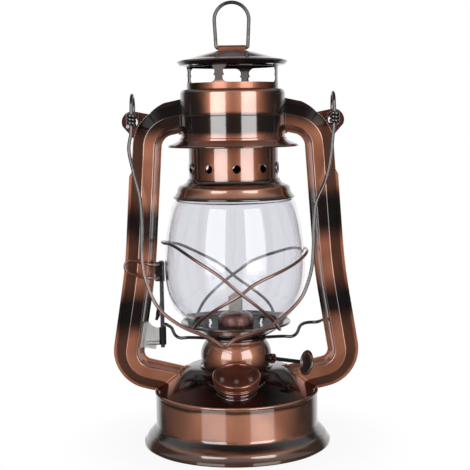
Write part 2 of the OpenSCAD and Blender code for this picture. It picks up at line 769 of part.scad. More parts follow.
bell_path = concat(
    [[bell_r, bell_z], [bell_r - 0.8, bell_z + 1.6], [bell_r - 1.8, bell_z + 3.2]],
    arc([bell_r - 4.6, bell_z + 5], 2.3, 10, 70, 4),
    arc([chimney_r + 5.1, bell_z + bell_h + 0.6], 4.2, 248, 190, 5)
);
module globe_holder()
    color(copper) {
        spun(bell_path);
        ring(bell_r - 0.2, bell_z, 1.5);
    }

chimney_foot_z = neck_z - 2.2;
chimney_t = 0.7;
hole_z = neck_z + 6.5;
hole_turn = 4;
module chimney_tube()
    color(copper) difference() {
        union() {
            washer(chimney_r, chimney_r - chimney_t, chimney_foot_z, window_z - 2 - chimney_foot_z);
            intersection() {
                washer(chimney_r + 0.6, chimney_r - chimney_t / 2, hole_z - 6, 12);
                air_hole_rods(air_hole_d + 1.8);
            }
        }
        air_hole_rods(air_hole_d);
    }
module air_hole_rods(d)
    for (i = [0 : air_holes - 1])
        rotate(i * 360 / air_holes - 90 + hole_turn) translate([chimney_r - 8, 0, hole_z])
            along_x(16, d / 2);

strut_turn = -106.6;
strut_w = 4.7;
// Half-width of a window at the drum's face
window_half = drum_r * sin(45 - asin(strut_w / 2 / drum_r));
module window_outline() {
    c = 2.6;
    x = window_half - c;
    for (s = [-1, 1]) {
        translate([s * x, c]) circle(c);
        translate([s * (x - 0.8), window_h - c - 0.6]) circle(c + 0.6);
    }
    translate([-x, 0]) square([2 * x, 2 * c]);
    translate([-x - c, c]) square([2 * (x + c), window_h - 3 * c - 0.4]);
    translate([-x + 0.8, window_h - 2 * c]) square([2 * x - 1.6, 2 * c]);
}
module vent_drum()
    color(copper) difference() {
        washer(drum_r, chimney_r + 0.02, hood_top_z - 4, drum_top_z - hood_top_z + 4);
        for (i = [0 : 3])
            rotate(strut_turn + 45 + 90 * i) translate([0, 0, window_z])
                rotate([90, 0, 90]) linear_extrude(40) window_outline();
    }

cap_flat_r = 12;
cap_t = 0.7;
cap_slope = [
    [drum_r - 1, cap_z + 0.3 * cap_h], [drum_r - 8.2, cap_z + 0.62 * cap_h],
    [cap_flat_r, cap_top_z - 0.5], [cap_flat_r - 2, cap_top_z], [0, cap_top_z]
];
// The brim is closed from below, and the drum ends inside it
cap_outline = concat(
    [[drum_r + gap, cap_z - 2.6], [cap_r - 1.8, cap_z - 2], [cap_r, cap_z], [cap_r - 1, cap_z + 0.8]],
    cap_slope,
    reversed(inset(cap_slope, cap_t)),
    [[drum_r + gap, cap_z + 0.3 * cap_h - cap_t - 0.2]]
);
module cap()
    color(copper) rotate_extrude() polygon(cap_outline);

strap_half = 8.2;
strap_r = loop_wire / 2 + 0.6;
hinge_z = cap_top_z + strap_r + seat_gap;
module loop_strap()
    color(copper) difference() {
        union() {
            translate([-strap_half, 0, hinge_z]) along_x(2 * strap_half, strap_r);
            translate([-strap_half, -strap_r, cap_top_z])
                cube([2 * strap_half, 2 * strap_r, hinge_z - cap_top_z]);
            translate([-strap_half, -5.6, cap_top_z]) cube([2 * strap_half, 11.2, 0.7]);
        }
        translate([-strap_half - 1, 0, hinge_z]) along_x(2 * strap_half + 2, loop_wire / 2 + fit);
    }

loop_corner_r = 1.6;
loop_leg_x = strap_half - 0.2;
loop_arc_r = loop_w / 2;
// Each side is the line that touches both the corner bend and the round top
loop_span = [-loop_leg_x, loop_h - loop_arc_r - loop_corner_r];
loop_swell = loop_arc_r - loop_corner_r;
loop_head = atan2(loop_span[1], loop_span[0]) - asin(loop_swell / norm(loop_span));
loop_side = sqrt(pow(norm(loop_span), 2) - pow(loop_swell, 2));
// Straight hinge leg, rounded corners, leaning sides and a round top
module top_loop()
    color(copper) translate([0, 0, hinge_z]) {
        translate([-loop_leg_x - 0.3, 0, 0]) along_x(2 * loop_leg_x + 0.6, loop_wire / 2);
        flat_wire(track([loop_leg_x, 0], 0, [
            [loop_corner_r, loop_head], [loop_side], [loop_arc_r, 2 * (180 - loop_head)],
            [loop_side], [loop_corner_r, loop_head]
        ]), loop_wire);
    }

seat_z = hood_z + 3.2;
seat_r = hood_r - sheet - 0.7;
module spring_seat()
    color(steel) washer(seat_r, chimney_r + 0.02, seat_z, seat_t);

spring_wire = 1.1;
seat_t = 1.2;
spring_room = hood_top_z - sheet - seat_z - seat_t;
// As many turns as still fit when the globe and the chimney are both up
spring_turns = floor((spring_room - globe_lift - chimney_lift) / spring_wire) - 1;
spring_z0 = seat_z + seat_t + spring_wire / 2 + 0.1;
spring_z1 = spring_z0 + spring_room - spring_wire - 0.2;
spring_r = (chimney_r + seat_r) / 2 + 0.35;
module chimney_spring()
    color(steel) {
        steps = spring_turns * 22;
        wire_along([
            for (i = [0 : steps])
                let (a = 360 * i * spring_turns / steps)
                [spring_r * cos(a), spring_r * sin(a), spring_z0 + (spring_z1 - spring_z0) * i / steps]
        ], spring_wire, 6);
        spring_space = (spring_z1 - spring_z0) / spring_turns - spring_wire;
        echo("least gap between the spring's turns", spring_space);
    }

// Hood

hood_mouth_r = drum_r + 0.6;
shoulder_r = hood_r - hood_mouth_r - 0.4;
module hood_drum()
    color(copper) difference() {
        spun(concat(
            [[hood_r, seam_z]],
            arc([hood_r - shoulder_r, hood_top_z - shoulder_r], shoulder_r, 0, 90, 6),
            [[hood_mouth_r, hood_top_z]]
        ));
        tube_bores();
    }

module hood_skirt()
    color(copper) difference() {
        union() {
            spun(concat(
                [[flange_r, hood_z], [flange_r - 0.5, hood_z + 0.9]],
                [[hood_r + 2.6, hood_z + flange_h - 1.2], [hood_r + 0.9, hood_z + flange_h]],
                [[hood_r + 0.9, hood_z + flange_h + 1], [hood_r, hood_z + flange_h + 1.4], [hood_r, seam_z]]
            ));
            ring(flange_r - 0.2, hood_z, 1.2);
            ring(hood_r - 0.1, seam_z - 0.6, 0.7);
        }
        tube_bores();
    }

// Side tubes

module tube_half_piece(side, back)
    color(copper) mirror([side < 0 ? 1 : 0, 0, 0]) mirror([0, back, 0]) difference() {
        lofted([
            for (i = [0 : len(tube_route) - 1])
                let (
                    high = tube_route[i][1] > upper_leave[1] - trimmed - 1,
                    fin = i < 3 ? fin_top : high ? fin_rest : fin_w
                )
                ring_at(tube_route, i, concat(tube_face(fin), reversed(tube_lining())))
        ]);
        dome_solid();
        translate([0, 0, hood_z]) cylinder(r = hood_r + gap, h = skirt_h + drum_h);
    }
module tube_left_front() tube_half_piece(-1, 0);
module tube_left_back() tube_half_piece(-1, 1);
module tube_right_front() tube_half_piece(1, 0);
module tube_right_back() tube_half_piece(1, 1);

// The air way of both tubes where they enter the hood
module tube_bores() {
    way = concat(tube_lining(), reversed(across(tube_lining())));
    for (s = [0, 1]) mirror([s, 0, 0])
        lofted([for (i = [0, 1]) ring_at(track([tube_x0 - 6, tube_z0 + 1.3], -tube_dip, [[12]]), i, way)]);
}

// Ears and bail

ear_x = upper_centre[0] + 25;
ear_z = seam_z - 3.9;
ear_t = 1.6;
ear_seat_r = upper_bend_r + tube_w / 2 + fin_rest + seat_gap;
eye_z = ear_z + eye_r;
ear_round = 6.6;
module ear(side)
    color(copper) mirror([side < 0 ? 1 : 0, 0, 0]) difference() {
        translate([0, ear_t / 2, 0]) rotate([90, 0, 0]) linear_extrude(ear_t) difference() {
            polygon(concat(
                [upper_centre + [8, 19]],
                arc([ear_x, ear_z], ear_round, 96, -22, 12),
                [upper_centre + [22, 2.6]]
            ));
            translate([ear_x, ear_z]) circle(d = ear_hole_d);
        }
        translate([upper_centre[0], 5, upper_centre[1]]) rotate([90, 0, 0]) cylinder(r = ear_seat_r, h = 10);
    }
module ear_left() ear(-1);
module ear_right() ear(1);

// Bail points: across the lamp, then down from the hinge. The wire leaves the front of each eye.
bail_points = [
    [-ear_x, -1], [-ear_x, 9], [-60.9, 16.8], [-62.2, 27.1], [-59.5, 40.5], [-55.6, 57.2],
    [-54.6, 73], [-54.7, 87.8], [-52.8, 103.5], [-45.3, 121], [-32.1, 132.1],
    [-17.3, 138.6], [-12, 141.6], [-8.4, 144.1], [-6.4, 144.7], [-4.4, 143.7],
    [-0.5, 140.6], [10, 137.2], [21, 132.3], [30.9, 124.8], [39.3, 115.4], [44.6, 101.2],
    [46.3, 86.8], [46.9, 72.8], [48.8, 59.6], [54.1, 47.9], [57.6, 34.7], [59.4, 21.1],
    [ear_x, 9], [ear_x, -1]
];
// The eyes are rolled a little thinner than the wire
wire_step = 0.1;
module bail()
    color(smoke) {
        translate([0, 0, eye_z]) rotate([-bail_lean, 0, 0])
            wire_along([
                for (p = smooth_path(bail_points, 2)) [p[0], -eye_r, -p[1]]
            ], bail_wire);
        for (s = [-1, 1]) translate([s * ear_x, 0, eye_z]) rotate([0, 90, 0])
            rotate_extrude($fn = 48) translate([eye_r, 0]) circle(d = bail_wire - wire_step, $fn = 16);
    }

tank_wall();
tank_bottom();
tank_top();
filler_neck();
filler_gasket();
filler_cap();
burner_collar();
burner_housing();
burner_deck();
burner_cone();
wick_tube();
wick();
shaft_bush();
wick_shaft();
wick_wheels();
wick_knob();
globe_plate();
globe();
guard_wire_left();
guard_wire_right();
lift_wire();
lift_rod();
lift_grip();
lift_knuckle();
catch_strip();
lift_bracket();
globe_holder();
chimney_tube();
vent_drum();
cap();
loop_strap();
top_loop();
spring_seat();
chimney_spring();
hood_drum();
hood_skirt();
tube_left_front();
tube_left_back();
tube_right_front();
tube_right_back();
ear_left();
ear_right();
bail();
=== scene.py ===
# %% [markdown]
# # A hurricane lantern in antique copper
# This lantern burns kerosene on a flat wick. Hot air rises through the chimney, and the two side
# tubes lead fresh air back down to the burner. Its solids come from a CAD model, and they are loaded
# here as a fixed frame. Blender then dresses them: wires, tubes and glass get finer shapes, and every
# surface gets the finish that the real lantern has.

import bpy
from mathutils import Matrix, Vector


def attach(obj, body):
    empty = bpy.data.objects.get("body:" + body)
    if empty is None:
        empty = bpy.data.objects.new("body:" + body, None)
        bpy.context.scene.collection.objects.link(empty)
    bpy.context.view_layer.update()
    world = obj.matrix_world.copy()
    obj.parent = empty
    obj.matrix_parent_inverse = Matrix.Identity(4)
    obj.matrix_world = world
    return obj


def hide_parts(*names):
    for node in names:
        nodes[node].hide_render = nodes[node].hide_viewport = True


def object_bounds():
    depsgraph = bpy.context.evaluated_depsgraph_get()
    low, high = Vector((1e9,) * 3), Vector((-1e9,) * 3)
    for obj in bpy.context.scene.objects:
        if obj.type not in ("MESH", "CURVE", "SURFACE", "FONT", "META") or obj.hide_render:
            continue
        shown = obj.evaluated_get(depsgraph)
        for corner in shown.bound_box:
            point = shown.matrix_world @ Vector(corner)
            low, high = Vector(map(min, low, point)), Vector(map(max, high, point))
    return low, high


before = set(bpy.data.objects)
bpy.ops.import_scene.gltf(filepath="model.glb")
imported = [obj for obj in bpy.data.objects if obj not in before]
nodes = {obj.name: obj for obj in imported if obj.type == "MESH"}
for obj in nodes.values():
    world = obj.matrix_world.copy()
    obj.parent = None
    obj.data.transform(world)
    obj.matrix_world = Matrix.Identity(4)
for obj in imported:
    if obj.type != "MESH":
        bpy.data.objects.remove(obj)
cad_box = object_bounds()

# %% [markdown]
# Blender measures in metres and a lantern maker in millimetres. One short function turns millimetre
# points into Blender's units, so every size below can be read as on a drawing.

# %% Millimetres and a clean selection
import math

import bpy
from mathutils import Matrix, Vector

MM = 0.001
PI = math.pi


def mm(*place):
    return Vector([value * MM for value in place])


def deselect():
    if bpy.context.object and bpy.context.object.mode != "OBJECT":
        bpy.ops.object.mode_set(mode="OBJECT")
    bpy.ops.object.select_all(action="DESELECT")


def edit(piece):
    deselect()
    bpy.context.view_layer.objects.active = piece
    piece.select_set(True)
    bpy.ops.object.mode_set(mode="EDIT")
    bpy.ops.mesh.select_mode(type="VERT")


def leave():
    bpy.ops.object.mode_set(mode="OBJECT")


size = (cad_box[1] - cad_box[0]) / MM
print("the lantern measures", [round(s, 1) for s in size], "mm")

# %% [markdown]
# ## The camera
# A product photographer stands back and uses a long lens, so that the lantern keeps its true shape.
# The camera sits 0.7 m in front of the lantern's axis, a little above its middle, and looks down by
# six degrees. A very small roll makes the lantern lean as it does in the picture.

# %% Camera
CAMERA_PLACE = (0.0003, -0.700, 0.2017)
CAMERA_PITCH = math.radians(84.04)
CAMERA_ROLL = math.radians(-0.8)

lens = bpy.data.cameras.new("long_lens")
lens.lens = 88.0
lens.sensor_width = 36.0
camera = bpy.data.objects.new("camera", lens)
bpy.context.scene.collection.objects.link(camera)
camera.matrix_world = (
    Matrix.Translation(CAMERA_PLACE)
    @ Matrix.Rotation(CAMERA_PITCH, 4, "X")
    @ Matrix.Rotation(CAMERA_ROLL, 4, "Z")
)
bpy.context.scene.camera = camera
bpy.context.scene.view_settings.view_transform = "Standard"
print("camera lens", lens.lens, "mm")

# %% [markdown]
# ## One helper for shader nodes
# A material is a small graph of nodes. `add` puts one node into it: settings such as an operation go
# in by name, and each input takes a plain value or the output of another node. `tint` reads a colour
# as a painter writes it, in sRGB hex, and turns it to the linear light that the renderer works in.

# %% Node helper and colours
def tint(code):
    parts = [int(code[i:i + 2], 16) / 255 for i in (1, 3, 5)]
    return tuple(p / 12.92 if p <= 0.04045 else ((p + 0.055) / 1.055) ** 2.4 for p in parts) + (1.0,)


def add(tree, kind, inputs=None, **settings):
    node = tree.nodes.new(kind)
    for name, value in settings.items():
        setattr(node, name, value)
    for socket, value in (inputs or {}).items():
        if isinstance(value, bpy.types.NodeSocket):
            tree.links.new(value, node.inputs[socket])
        else:
            node.inputs[socket].default_value = value
    return node.outputs


def new_finish(name, plain):
    """Starts a material. Its plain numbers go on the shader's sockets, and its place is in mm."""
    finish = bpy.data.materials.new(name)
    finish.use_nodes = True
    tree = finish.node_tree
    sockets = tree.nodes["Principled BSDF"].inputs
    for socket, value in plain.items():
        sockets[socket].default_value = value
    spot = add(tree, "ShaderNodeTexCoord")["Object"]
    place = add(tree, "ShaderNodeVectorMath", {0: spot, 1: (1000, 1000, 1000)}, operation="MULTIPLY")[0]
    return finish, tree, sockets, place


print("antique copper in linear light:", [round(c, 3) for c in tint("#975945")])

# %% [markdown]
# ## Antique copper
# The lantern is pressed from tinplate, plated with copper, shaded with black spray and covered with
# clear lacquer. The eye sees a brown, warm metal, soft black zones where the spray gun passed, and on
# top of both a sharp, colourless gloss. So the copper is a metal of middle roughness and the black lies
# in bands along an axis of the object, with edges that drift a little. Some of these black bands are
# painted shade and a painted reflection: they darken the sides of round parts, the back of the guard
# wires, the places under beads, the chimney just above the bell and the hollow of the tank's foot. The
# lacquer is the shader's coat: its IOR is set above that of a single film, because the many layers of
# lacquer and spray reflect more. Two faint bumps give the orange peel of sprayed lacquer and the slow
# waves that thin pressed sheet always has.

# %% Where the black spray and the painted shade lie
SPRAY_AND_SHADE_BLACK = tint("#0a0708")
DRIFT_SIZE = 24
WANDER = 3.0
# Axes along which a band is measured: weights of x, y, z and of the distance from the axis
X, Y, Z, R = (1, 0, 0, 0), (0, 1, 0, 0), (0, 0, 1, 0), (0, 0, 0, 1)


def spray_and_painted_shade(tree, place, zones):
    """A share of black spray and painted shade. Each zone is an axis, a start and an end in mm, a fade in mm and a
    strength.
    """
    flat = add(tree, "ShaderNodeVectorMath", {0: place, 1: (1, 1, 0)}, operation="MULTIPLY")[0]
    radius = add(tree, "ShaderNodeVectorMath", {0: flat}, operation="LENGTH")["Value"]
    cloud = add(tree, "ShaderNodeTexNoise", {"Vector": place, "Scale": 1 / DRIFT_SIZE, "Detail": 1.5})["Fac"]
    drift = add(tree, "ShaderNodeMath", {0: cloud, 1: 0.5}, operation="SUBTRACT")[0]
    total = None
    for axis, start, end, fade, strength in zones:
        reach = add(tree, "ShaderNodeVectorMath", {0: place, 1: axis[:3]}, operation="DOT_PRODUCT")["Value"]
        reach = add(tree, "ShaderNodeMath", {0: radius, 1: axis[3], 2: reach}, operation="MULTIPLY_ADD")[0]
        reach = add(tree, "ShaderNodeMath", {0: drift, 1: WANDER * fade, 2: reach}, operation="MULTIPLY_ADD")[0]
        rise = add(tree, "ShaderNodeMapRange", {0: reach, 1: start - fade, 2: start + fade},
                   interpolation_type="SMOOTHSTEP")[0]
        fall = add(tree, "ShaderNodeMapRange", {0: reach, 1: end - fade, 2: end + fade, 3: strength, 4: 0.0},
                   interpolation_type="SMOOTHSTEP")[0]
        band = add(tree, "ShaderNodeMath", {0: rise, 1: fall}, operation="MULTIPLY")[0]
        if total is not None:
            band = add(tree, "ShaderNodeMath", {0: total, 1: band}, operation="MAXIMUM")[0]
        total = band
    return total


print("black spray drifts over", DRIFT_SIZE, "mm")

# %% Lacquered copper
COPPER_LIGHT = tint("#cf8b6d")
COPPER_DEEP = tint("#a8694f")
HAZE_SIZE = 22
GRIT_SIZE = 0.9
PEEL_SIZE = 1.6
WAVE_SIZE = 30


def lacquered_copper(name, zones=(), light=COPPER_LIGHT, deep=COPPER_DEEP, rough=0.42, wave=0.09, gloss=2.4):
    finish, tree, sockets, place = new_finish(name, {
        "Metallic": 1.0, "Coat Weight": 1.0, "Coat Roughness": 0.09, "Coat IOR": gloss,
    })
    haze = add(tree, "ShaderNodeTexNoise", {"Vector": place, "Scale": 1 / HAZE_SIZE, "Detail": 1.0})["Fac"]
    shade = add(tree, "ShaderNodeMapRange", {0: haze, 1: 0.34, 2: 0.66}, interpolation_type="SMOOTHSTEP")[0]
    colour = add(tree, "ShaderNodeMix", {0: shade, 6: deep, 7: light}, data_type="RGBA")[2]
    grit = add(tree, "ShaderNodeTexNoise", {"Vector": place, "Scale": 1 / GRIT_SIZE, "Detail": 2.0})["Fac"]
    specks = add(tree, "ShaderNodeMapRange", {0: grit, 1: 0.42, 2: 0.8, 4: 0.3})[0]
    colour = add(tree, "ShaderNodeMix", {0: specks, 6: colour, 7: deep}, data_type="RGBA")[2]
    # Black from the zones: spray, and on some pieces painted shade and a painted reflection
    if zones:
        black = spray_and_painted_shade(tree, place, zones)
        colour = add(tree, "ShaderNodeMix", {0: black, 6: colour, 7: SPRAY_AND_SHADE_BLACK}, data_type="RGBA")[2]
    tree.links.new(colour, sockets["Base Color"])
    polish = add(tree, "ShaderNodeMapRange", {0: shade, 3: rough + 0.03, 4: rough - 0.03})[0]
    tree.links.new(polish, sockets["Roughness"])
    peel = add(tree, "ShaderNodeTexNoise", {"Vector": place, "Scale": 1 / PEEL_SIZE, "Detail": 0.0})["Fac"]
    swell = add(tree, "ShaderNodeTexNoise", {"Vector": place, "Scale": 1 / WAVE_SIZE, "Detail": 0.0})["Fac"]
    skin = add(tree, "ShaderNodeBump", {"Height": peel, "Distance": 0.00001, "Strength": 0.5})[0]
    skin = add(tree, "ShaderNodeBump", {"Height": swell, "Distance": 0.001, "Strength": wave, "Normal": skin})[0]
    tree.links.new(skin, sockets["Normal"])
    tree.links.new(skin, sockets["Coat Normal"])
    return finish


WIRE_LIGHT = tint("#a8705b")
WIRE_DEEP = tint("#7a4a3b")
plain_copper = lacquered_copper("lacquered_copper_plate")
wire_copper = lacquered_copper("lacquered_copper_wire", light=WIRE_LIGHT, deep=WIRE_DEEP)
cone_copper = lacquered_copper("lacquered_copper_cone", light=tint("#7d4638"), deep=tint("#4f2b22"), gloss=1.6)
# Painted light and shade: the housing's copper is lighter than the rest of the plating, and its bands across x paint
# shade on its left and right sides.
housing_copper = lacquered_copper("lacquered_copper_housing", [
    (Z, 40, 50.5, 1.5, 0.8), (X, 16.5, 60, 3.5, 0.92), (X, -60, -16, 3.5, 0.92),
],
                                  light=tint("#dd9878"), deep=tint("#bd7a5e"), rough=0.5)
# Painted light and shade: the tank's copper is lighter than the rest of the plating, its bands across x paint shade on
# its sides, the band from 29.2 to 31.3 mm paints the shade under the bead, and the band from 7 to 12.2 mm paints the
# dark reflection in the hollow of the foot. The wall is also darker towards the bottom.
tank_copper = lacquered_copper("lacquered_copper_tank", [
    (Z, 7.0, 12.2, 1.7, 0.98), (Z, 29.2, 31.3, 0.9, 0.9), (Z, -5, 6.4, 2.2, 0.8),
    (X, 40, 90, 12, 0.9), (X, -90, -41, 8, 0.9),
], light=tint("#dd9878"), deep=tint("#bd7a5e"), rough=0.5)
# Painted shade: the bands across x darken the drum's left and right sides.
drum_copper = lacquered_copper("lacquered_copper_drum", [
    (Z, 198, 203.2, 0.9, 0.9), (X, 21, 60, 5, 0.92), (X, -60, -18, 6, 0.9),
])
# Painted shade: the bands across x darken the skirt's left and right sides.
skirt_copper = lacquered_copper("lacquered_copper_skirt", [
    (Z, 190.6, 204, 1.8, 0.97), (X, 26, 60, 4, 0.8), (X, -60, -24, 4, 0.8), (Z, 180, 183.9, 0.4, 0.8),
])
# Painted shade: the bands across x darken the chimney's sides, and the band from 150 to 163.2 mm paints the shadow
# just above the bell.
chimney_copper = lacquered_copper("lacquered_copper_chimney", [
    (Z, 150, 163.2, 1.0, 0.97), (X, 19, 60, 3, 0.9), (X, -60, -19, 3, 0.9), (R, 0, 26.6, 0.15, 0.98),
], light=tint("#b87559"), deep=tint("#96583f"))
# Painted shade: the bands across x darken the bell's sides, the band from 160.2 to 170 mm paints the shadow at its
# neck, and the band from 145 to 153.6 mm paints the shade on the bead of its lip.
bell_copper = lacquered_copper("lacquered_copper_bell", [
    (Z, 160.2, 170, 1.0, 0.97), (Z, 145, 153.6, 0.5, 0.95), (X, 27, 60, 4, 0.85), (X, -60, -27, 4, 0.85),
])
# Painted shade: the bands across x darken the vent's left and right sides.
vent_copper = lacquered_copper("lacquered_copper_vent", [
    (Z, 221.8, 250, 1.2, 0.97), (R, 0, 27.1, 0.2, 0.97), (X, 20, 60, 4, 0.9), (X, -60, -20, 4, 0.9),
], gloss=1.5)
print("copper finishes:", len(bpy.data.materials))

# %% [markdown]
# Some parts were sprayed nearly all over: the dome of the tank, the cap, the ears and the neck of the
# filler. There the copper only glows through as a dark brown red.

# %% Smoked copper
smoked_copper = lacquered_copper("smoked_copper_plate", light=tint("#4a221b"), deep=tint("#1d0d0b"))
ear_copper = lacquered_copper("smoked_copper_ears", light=tint("#70362a"), deep=tint("#2c1411"))
dome_copper = lacquered_copper("smoked_copper_dome", [(R, 0, 27, 4, 0.7)],
                               light=tint("#4d1f17"), deep=tint("#150a09"), wave=0.16, gloss=1.5)
cap_copper = lacquered_copper("smoked_copper_cap", [(Z, 225, 233.9, 0.5, 0.95)],
                              light=tint("#8a564a"), deep=tint("#552f27"), gloss=1.7)
filler_copper = lacquered_copper("smoked_copper_filler", light=tint("#c47a64"), deep=tint("#94543f"), gloss=1.8)
print("smoked finishes:", smoked_copper.name, dome_copper.name, cap_copper.name)

# %% [markdown]
# ## Wires and steel
# The lift gear is black enamelled steel wire, drawn and bent. Enamel is a glossy non-metal over a
# slightly rough wire, so its highlights are grey-white and broken. The guide on the left tube, the
# wick tube and the spring are bare steel: a grey metal with fine lines from the rolling mill.

# %% Black enamel and bare steel
def black_enamel(name, colour, worn, metallic=0.3):
    finish, tree, sockets, place = new_finish(name, {
        "Metallic": metallic, "Coat Weight": 1.0, "Coat Roughness": 0.07, "Coat IOR": 1.8,
    })
    rub = add(tree, "ShaderNodeTexNoise", {"Vector": place, "Scale": 1 / 3.5, "Detail": 4.0})["Fac"]
    thin = add(tree, "ShaderNodeMapRange", {0: rub, 1: 0.54, 2: 0.72}, interpolation_type="SMOOTHSTEP")[0]
    shade = add(tree, "ShaderNodeMix", {0: thin, 6: colour, 7: worn}, data_type="RGBA")[2]
    tree.links.new(shade, sockets["Base Color"])
    tree.links.new(add(tree, "ShaderNodeMapRange", {0: rub, 3: 0.18, 4: 0.42})[0], sockets["Roughness"])
    runs = add(tree, "ShaderNodeTexNoise", {"Vector": place, "Scale": 1 / 1.2, "Detail": 2.0})["Fac"]
    skin = add(tree, "ShaderNodeBump", {"Height": runs, "Distance": 0.00003, "Strength": 0.6})[0]
    tree.links.new(skin, sockets["Normal"])
    return finish


def bare_steel(name, light, dark, rough, stretch, zones=()):
    finish, tree, sockets, place = new_finish(name, {"Metallic": 1.0})
    drawn = add(tree, "ShaderNodeVectorMath", {0: place, 1: stretch}, operation="MULTIPLY")[0]
    lines = add(tree, "ShaderNodeTexNoise", {"Vector": drawn, "Scale": 1 / 2.4, "Detail": 2.0})["Fac"]
    soft = add(tree, "ShaderNodeMapRange", {0: lines, 1: 0.35, 2: 0.65})[0]
    shade = add(tree, "ShaderNodeMix", {0: soft, 6: dark, 7: light}, data_type="RGBA")[2]
    if zones:
        soot = spray_and_painted_shade(tree, place, zones)
        shade = add(tree, "ShaderNodeMix", {0: soot, 6: shade, 7: SPRAY_AND_SHADE_BLACK}, data_type="RGBA")[2]
    tree.links.new(shade, sockets["Base Color"])
    tree.links.new(add(tree, "ShaderNodeMapRange", {0: lines, 3: rough - 0.05, 4: rough + 0.05})[0],
                   sockets["Roughness"])
    skin = add(tree, "ShaderNodeBump", {"Height": lines, "Distance": 0.00001, "Strength": 0.4})[0]
    tree.links.new(skin, sockets["Normal"])
    return finish


enamel = black_enamel("black_enamelled_wire", tint("#100e0e"), tint("#2e2725"))
plate_enamel = black_enamel("black_enamelled_plate", tint("#171516"), tint("#4a4544"))
loop_steel = black_enamel("blued_steel_loop", tint("#4b4848"), tint("#7d7875"), 0.9)
tinplate = bare_steel("bare_tinplate", tint("#e6e4e3"), tint("#d2d0cf"), 0.46, (1, 1, 0.12), [(X, -47.2, 0, 0.15, 0.96)])
spring_steel = bare_steel("spring_steel", tint("#a8a6a4"), tint("#6d6a68"), 0.32, (1, 1, 6))
print("metals:", enamel.name, tinplate.name, spring_steel.name)

# %% [markdown]
# ## Glass, cotton and fibre
# The globe is clear pressed soda-lime glass, 1.5 mm thick, with a faint grey tint. The wick is woven
# cotton tape, off-white and quite matt. The gasket is vulcanised fibre, a hard red-brown paper.

# %% Glass, cotton and fibre
globe_glass, tree, sockets, place = new_finish("soda_lime_glass", {
    "Base Color": tint("#eeeef2"), "Roughness": 0.0, "IOR": 1.52, "Transmission Weight": 1.0,
})
swell = add(tree, "ShaderNodeTexNoise", {"Vector": place, "Scale": 1 / 16, "Detail": 1.0})["Fac"]
tree.links.new(add(tree, "ShaderNodeBump", {"Height": swell, "Distance": 0.0006, "Strength": 0.1})[0],
               sockets["Normal"])

THREAD = 0.9
# A wave texture of scale s repeats about every 0.31 / s
cotton, tree, sockets, place = new_finish("woven_cotton_tape", {"Roughness": 0.9, "Sheen Weight": 0.3})
weft = add(tree, "ShaderNodeTexWave", {"Vector": place, "Scale": 0.31 / THREAD, "Distortion": 0.6, "Detail": 1.0},
           wave_type="BANDS", bands_direction="Z")["Fac"]
fluff = add(tree, "ShaderNodeTexNoise", {"Vector": place, "Scale": 1 / 0.5, "Detail": 3.0})["Fac"]
light_share = add(tree, "ShaderNodeMath", {0: weft, 1: fluff}, operation="MULTIPLY")[0]
tree.links.new(add(tree, "ShaderNodeMix", {0: light_share, 6: tint("#cfc6b6"), 7: tint("#fbf8f2")},
                   data_type="RGBA")[2], sockets["Base Color"])
tree.links.new(add(tree, "ShaderNodeBump", {"Height": weft, "Distance": 0.00025, "Strength": 0.9})[0],
               sockets["Normal"])

fibre, tree, sockets, place = new_finish("vulcanised_fibre", {"Roughness": 0.75})
pulp = add(tree, "ShaderNodeTexNoise", {"Vector": place, "Scale": 1 / 0.6, "Detail": 4.0})["Fac"]
tree.links.new(add(tree, "ShaderNodeMix", {0: pulp, 6: tint("#3d1e17"), 7: tint("#6b3b2e")},
                   data_type="RGBA")[2], sockets["Base Color"])
tree.links.new(add(tree, "ShaderNodeBump", {"Height": pulp, "Distance": 0.00005, "Strength": 0.6})[0],
               sockets["Normal"])
print("cotton thread", THREAD, "mm")

# %% [markdown]
# ## Finishes for the solids that stay
# Spun pieces such as the tank, the hood and the chimney are already right as solids. They keep their
# mesh and get a finish. Their triangles are loose, so a Weld modifier joins them and an Edge Split
# modifier keeps the real edges sharp, while the round faces shade smoothly.

# %% Dress the solids
def dress(node_name, finish, sharp=32):
    node = nodes[node_name]
    if not node.material_slots:
        node.data.materials.append(finish)
    for socket in node.material_slots:
        socket.material = finish
    for face in node.data.polygons:
        face.use_smooth = True
    weld = node.modifiers.new("join_triangles", "WELD")
    weld.merge_threshold = 0.00001
    split = node.modifiers.new("keep_edges", "EDGE_SPLIT")
    split.split_angle = math.radians(sharp)
    split.use_edge_sharp = False


dressed = {
    "tank_wall": tank_copper, "tank_bottom": smoked_copper, "tank_top": dome_copper,
    "filler_neck": smoked_copper, "filler_gasket": fibre, "filler_cap": filler_copper,
    "burner_collar": smoked_copper, "burner_housing": housing_copper, "burner_deck": smoked_copper,
    "burner_cone": cone_copper, "wick_tube": tinplate, "wick": cotton, "shaft_bush": smoked_copper,
    "wick_shaft": enamel, "wick_wheels": tinplate, "wick_knob": ear_copper,
    "globe_plate": plate_enamel, "globe": globe_glass, "guard_wire_left": plain_copper,
    "guard_wire_right": plain_copper, "lift_wire": enamel, "lift_rod": enamel,
    "lift_grip": plain_copper, "lift_knuckle": enamel, "catch_strip": enamel,
    "lift_bracket": tinplate, "globe_holder": bell_copper, "chimney_tube": chimney_copper,
    "vent_drum": vent_copper, "cap": cap_copper, "loop_strap": filler_copper, "top_loop": loop_steel,
    "spring_seat": tinplate, "chimney_spring": spring_steel, "hood_drum": drum_copper,
    "hood_skirt": skirt_copper, "tube_left_front": plain_copper, "tube_left_back": plain_copper,
    "tube_right_front": plain_copper, "tube_right_back": plain_copper, "ear_left": ear_copper,
    "ear_right": ear_copper, "bail": enamel,
}
for node_name, finish in dressed.items():
    dress(node_name, finish)
print("solids dressed:", len(dressed))

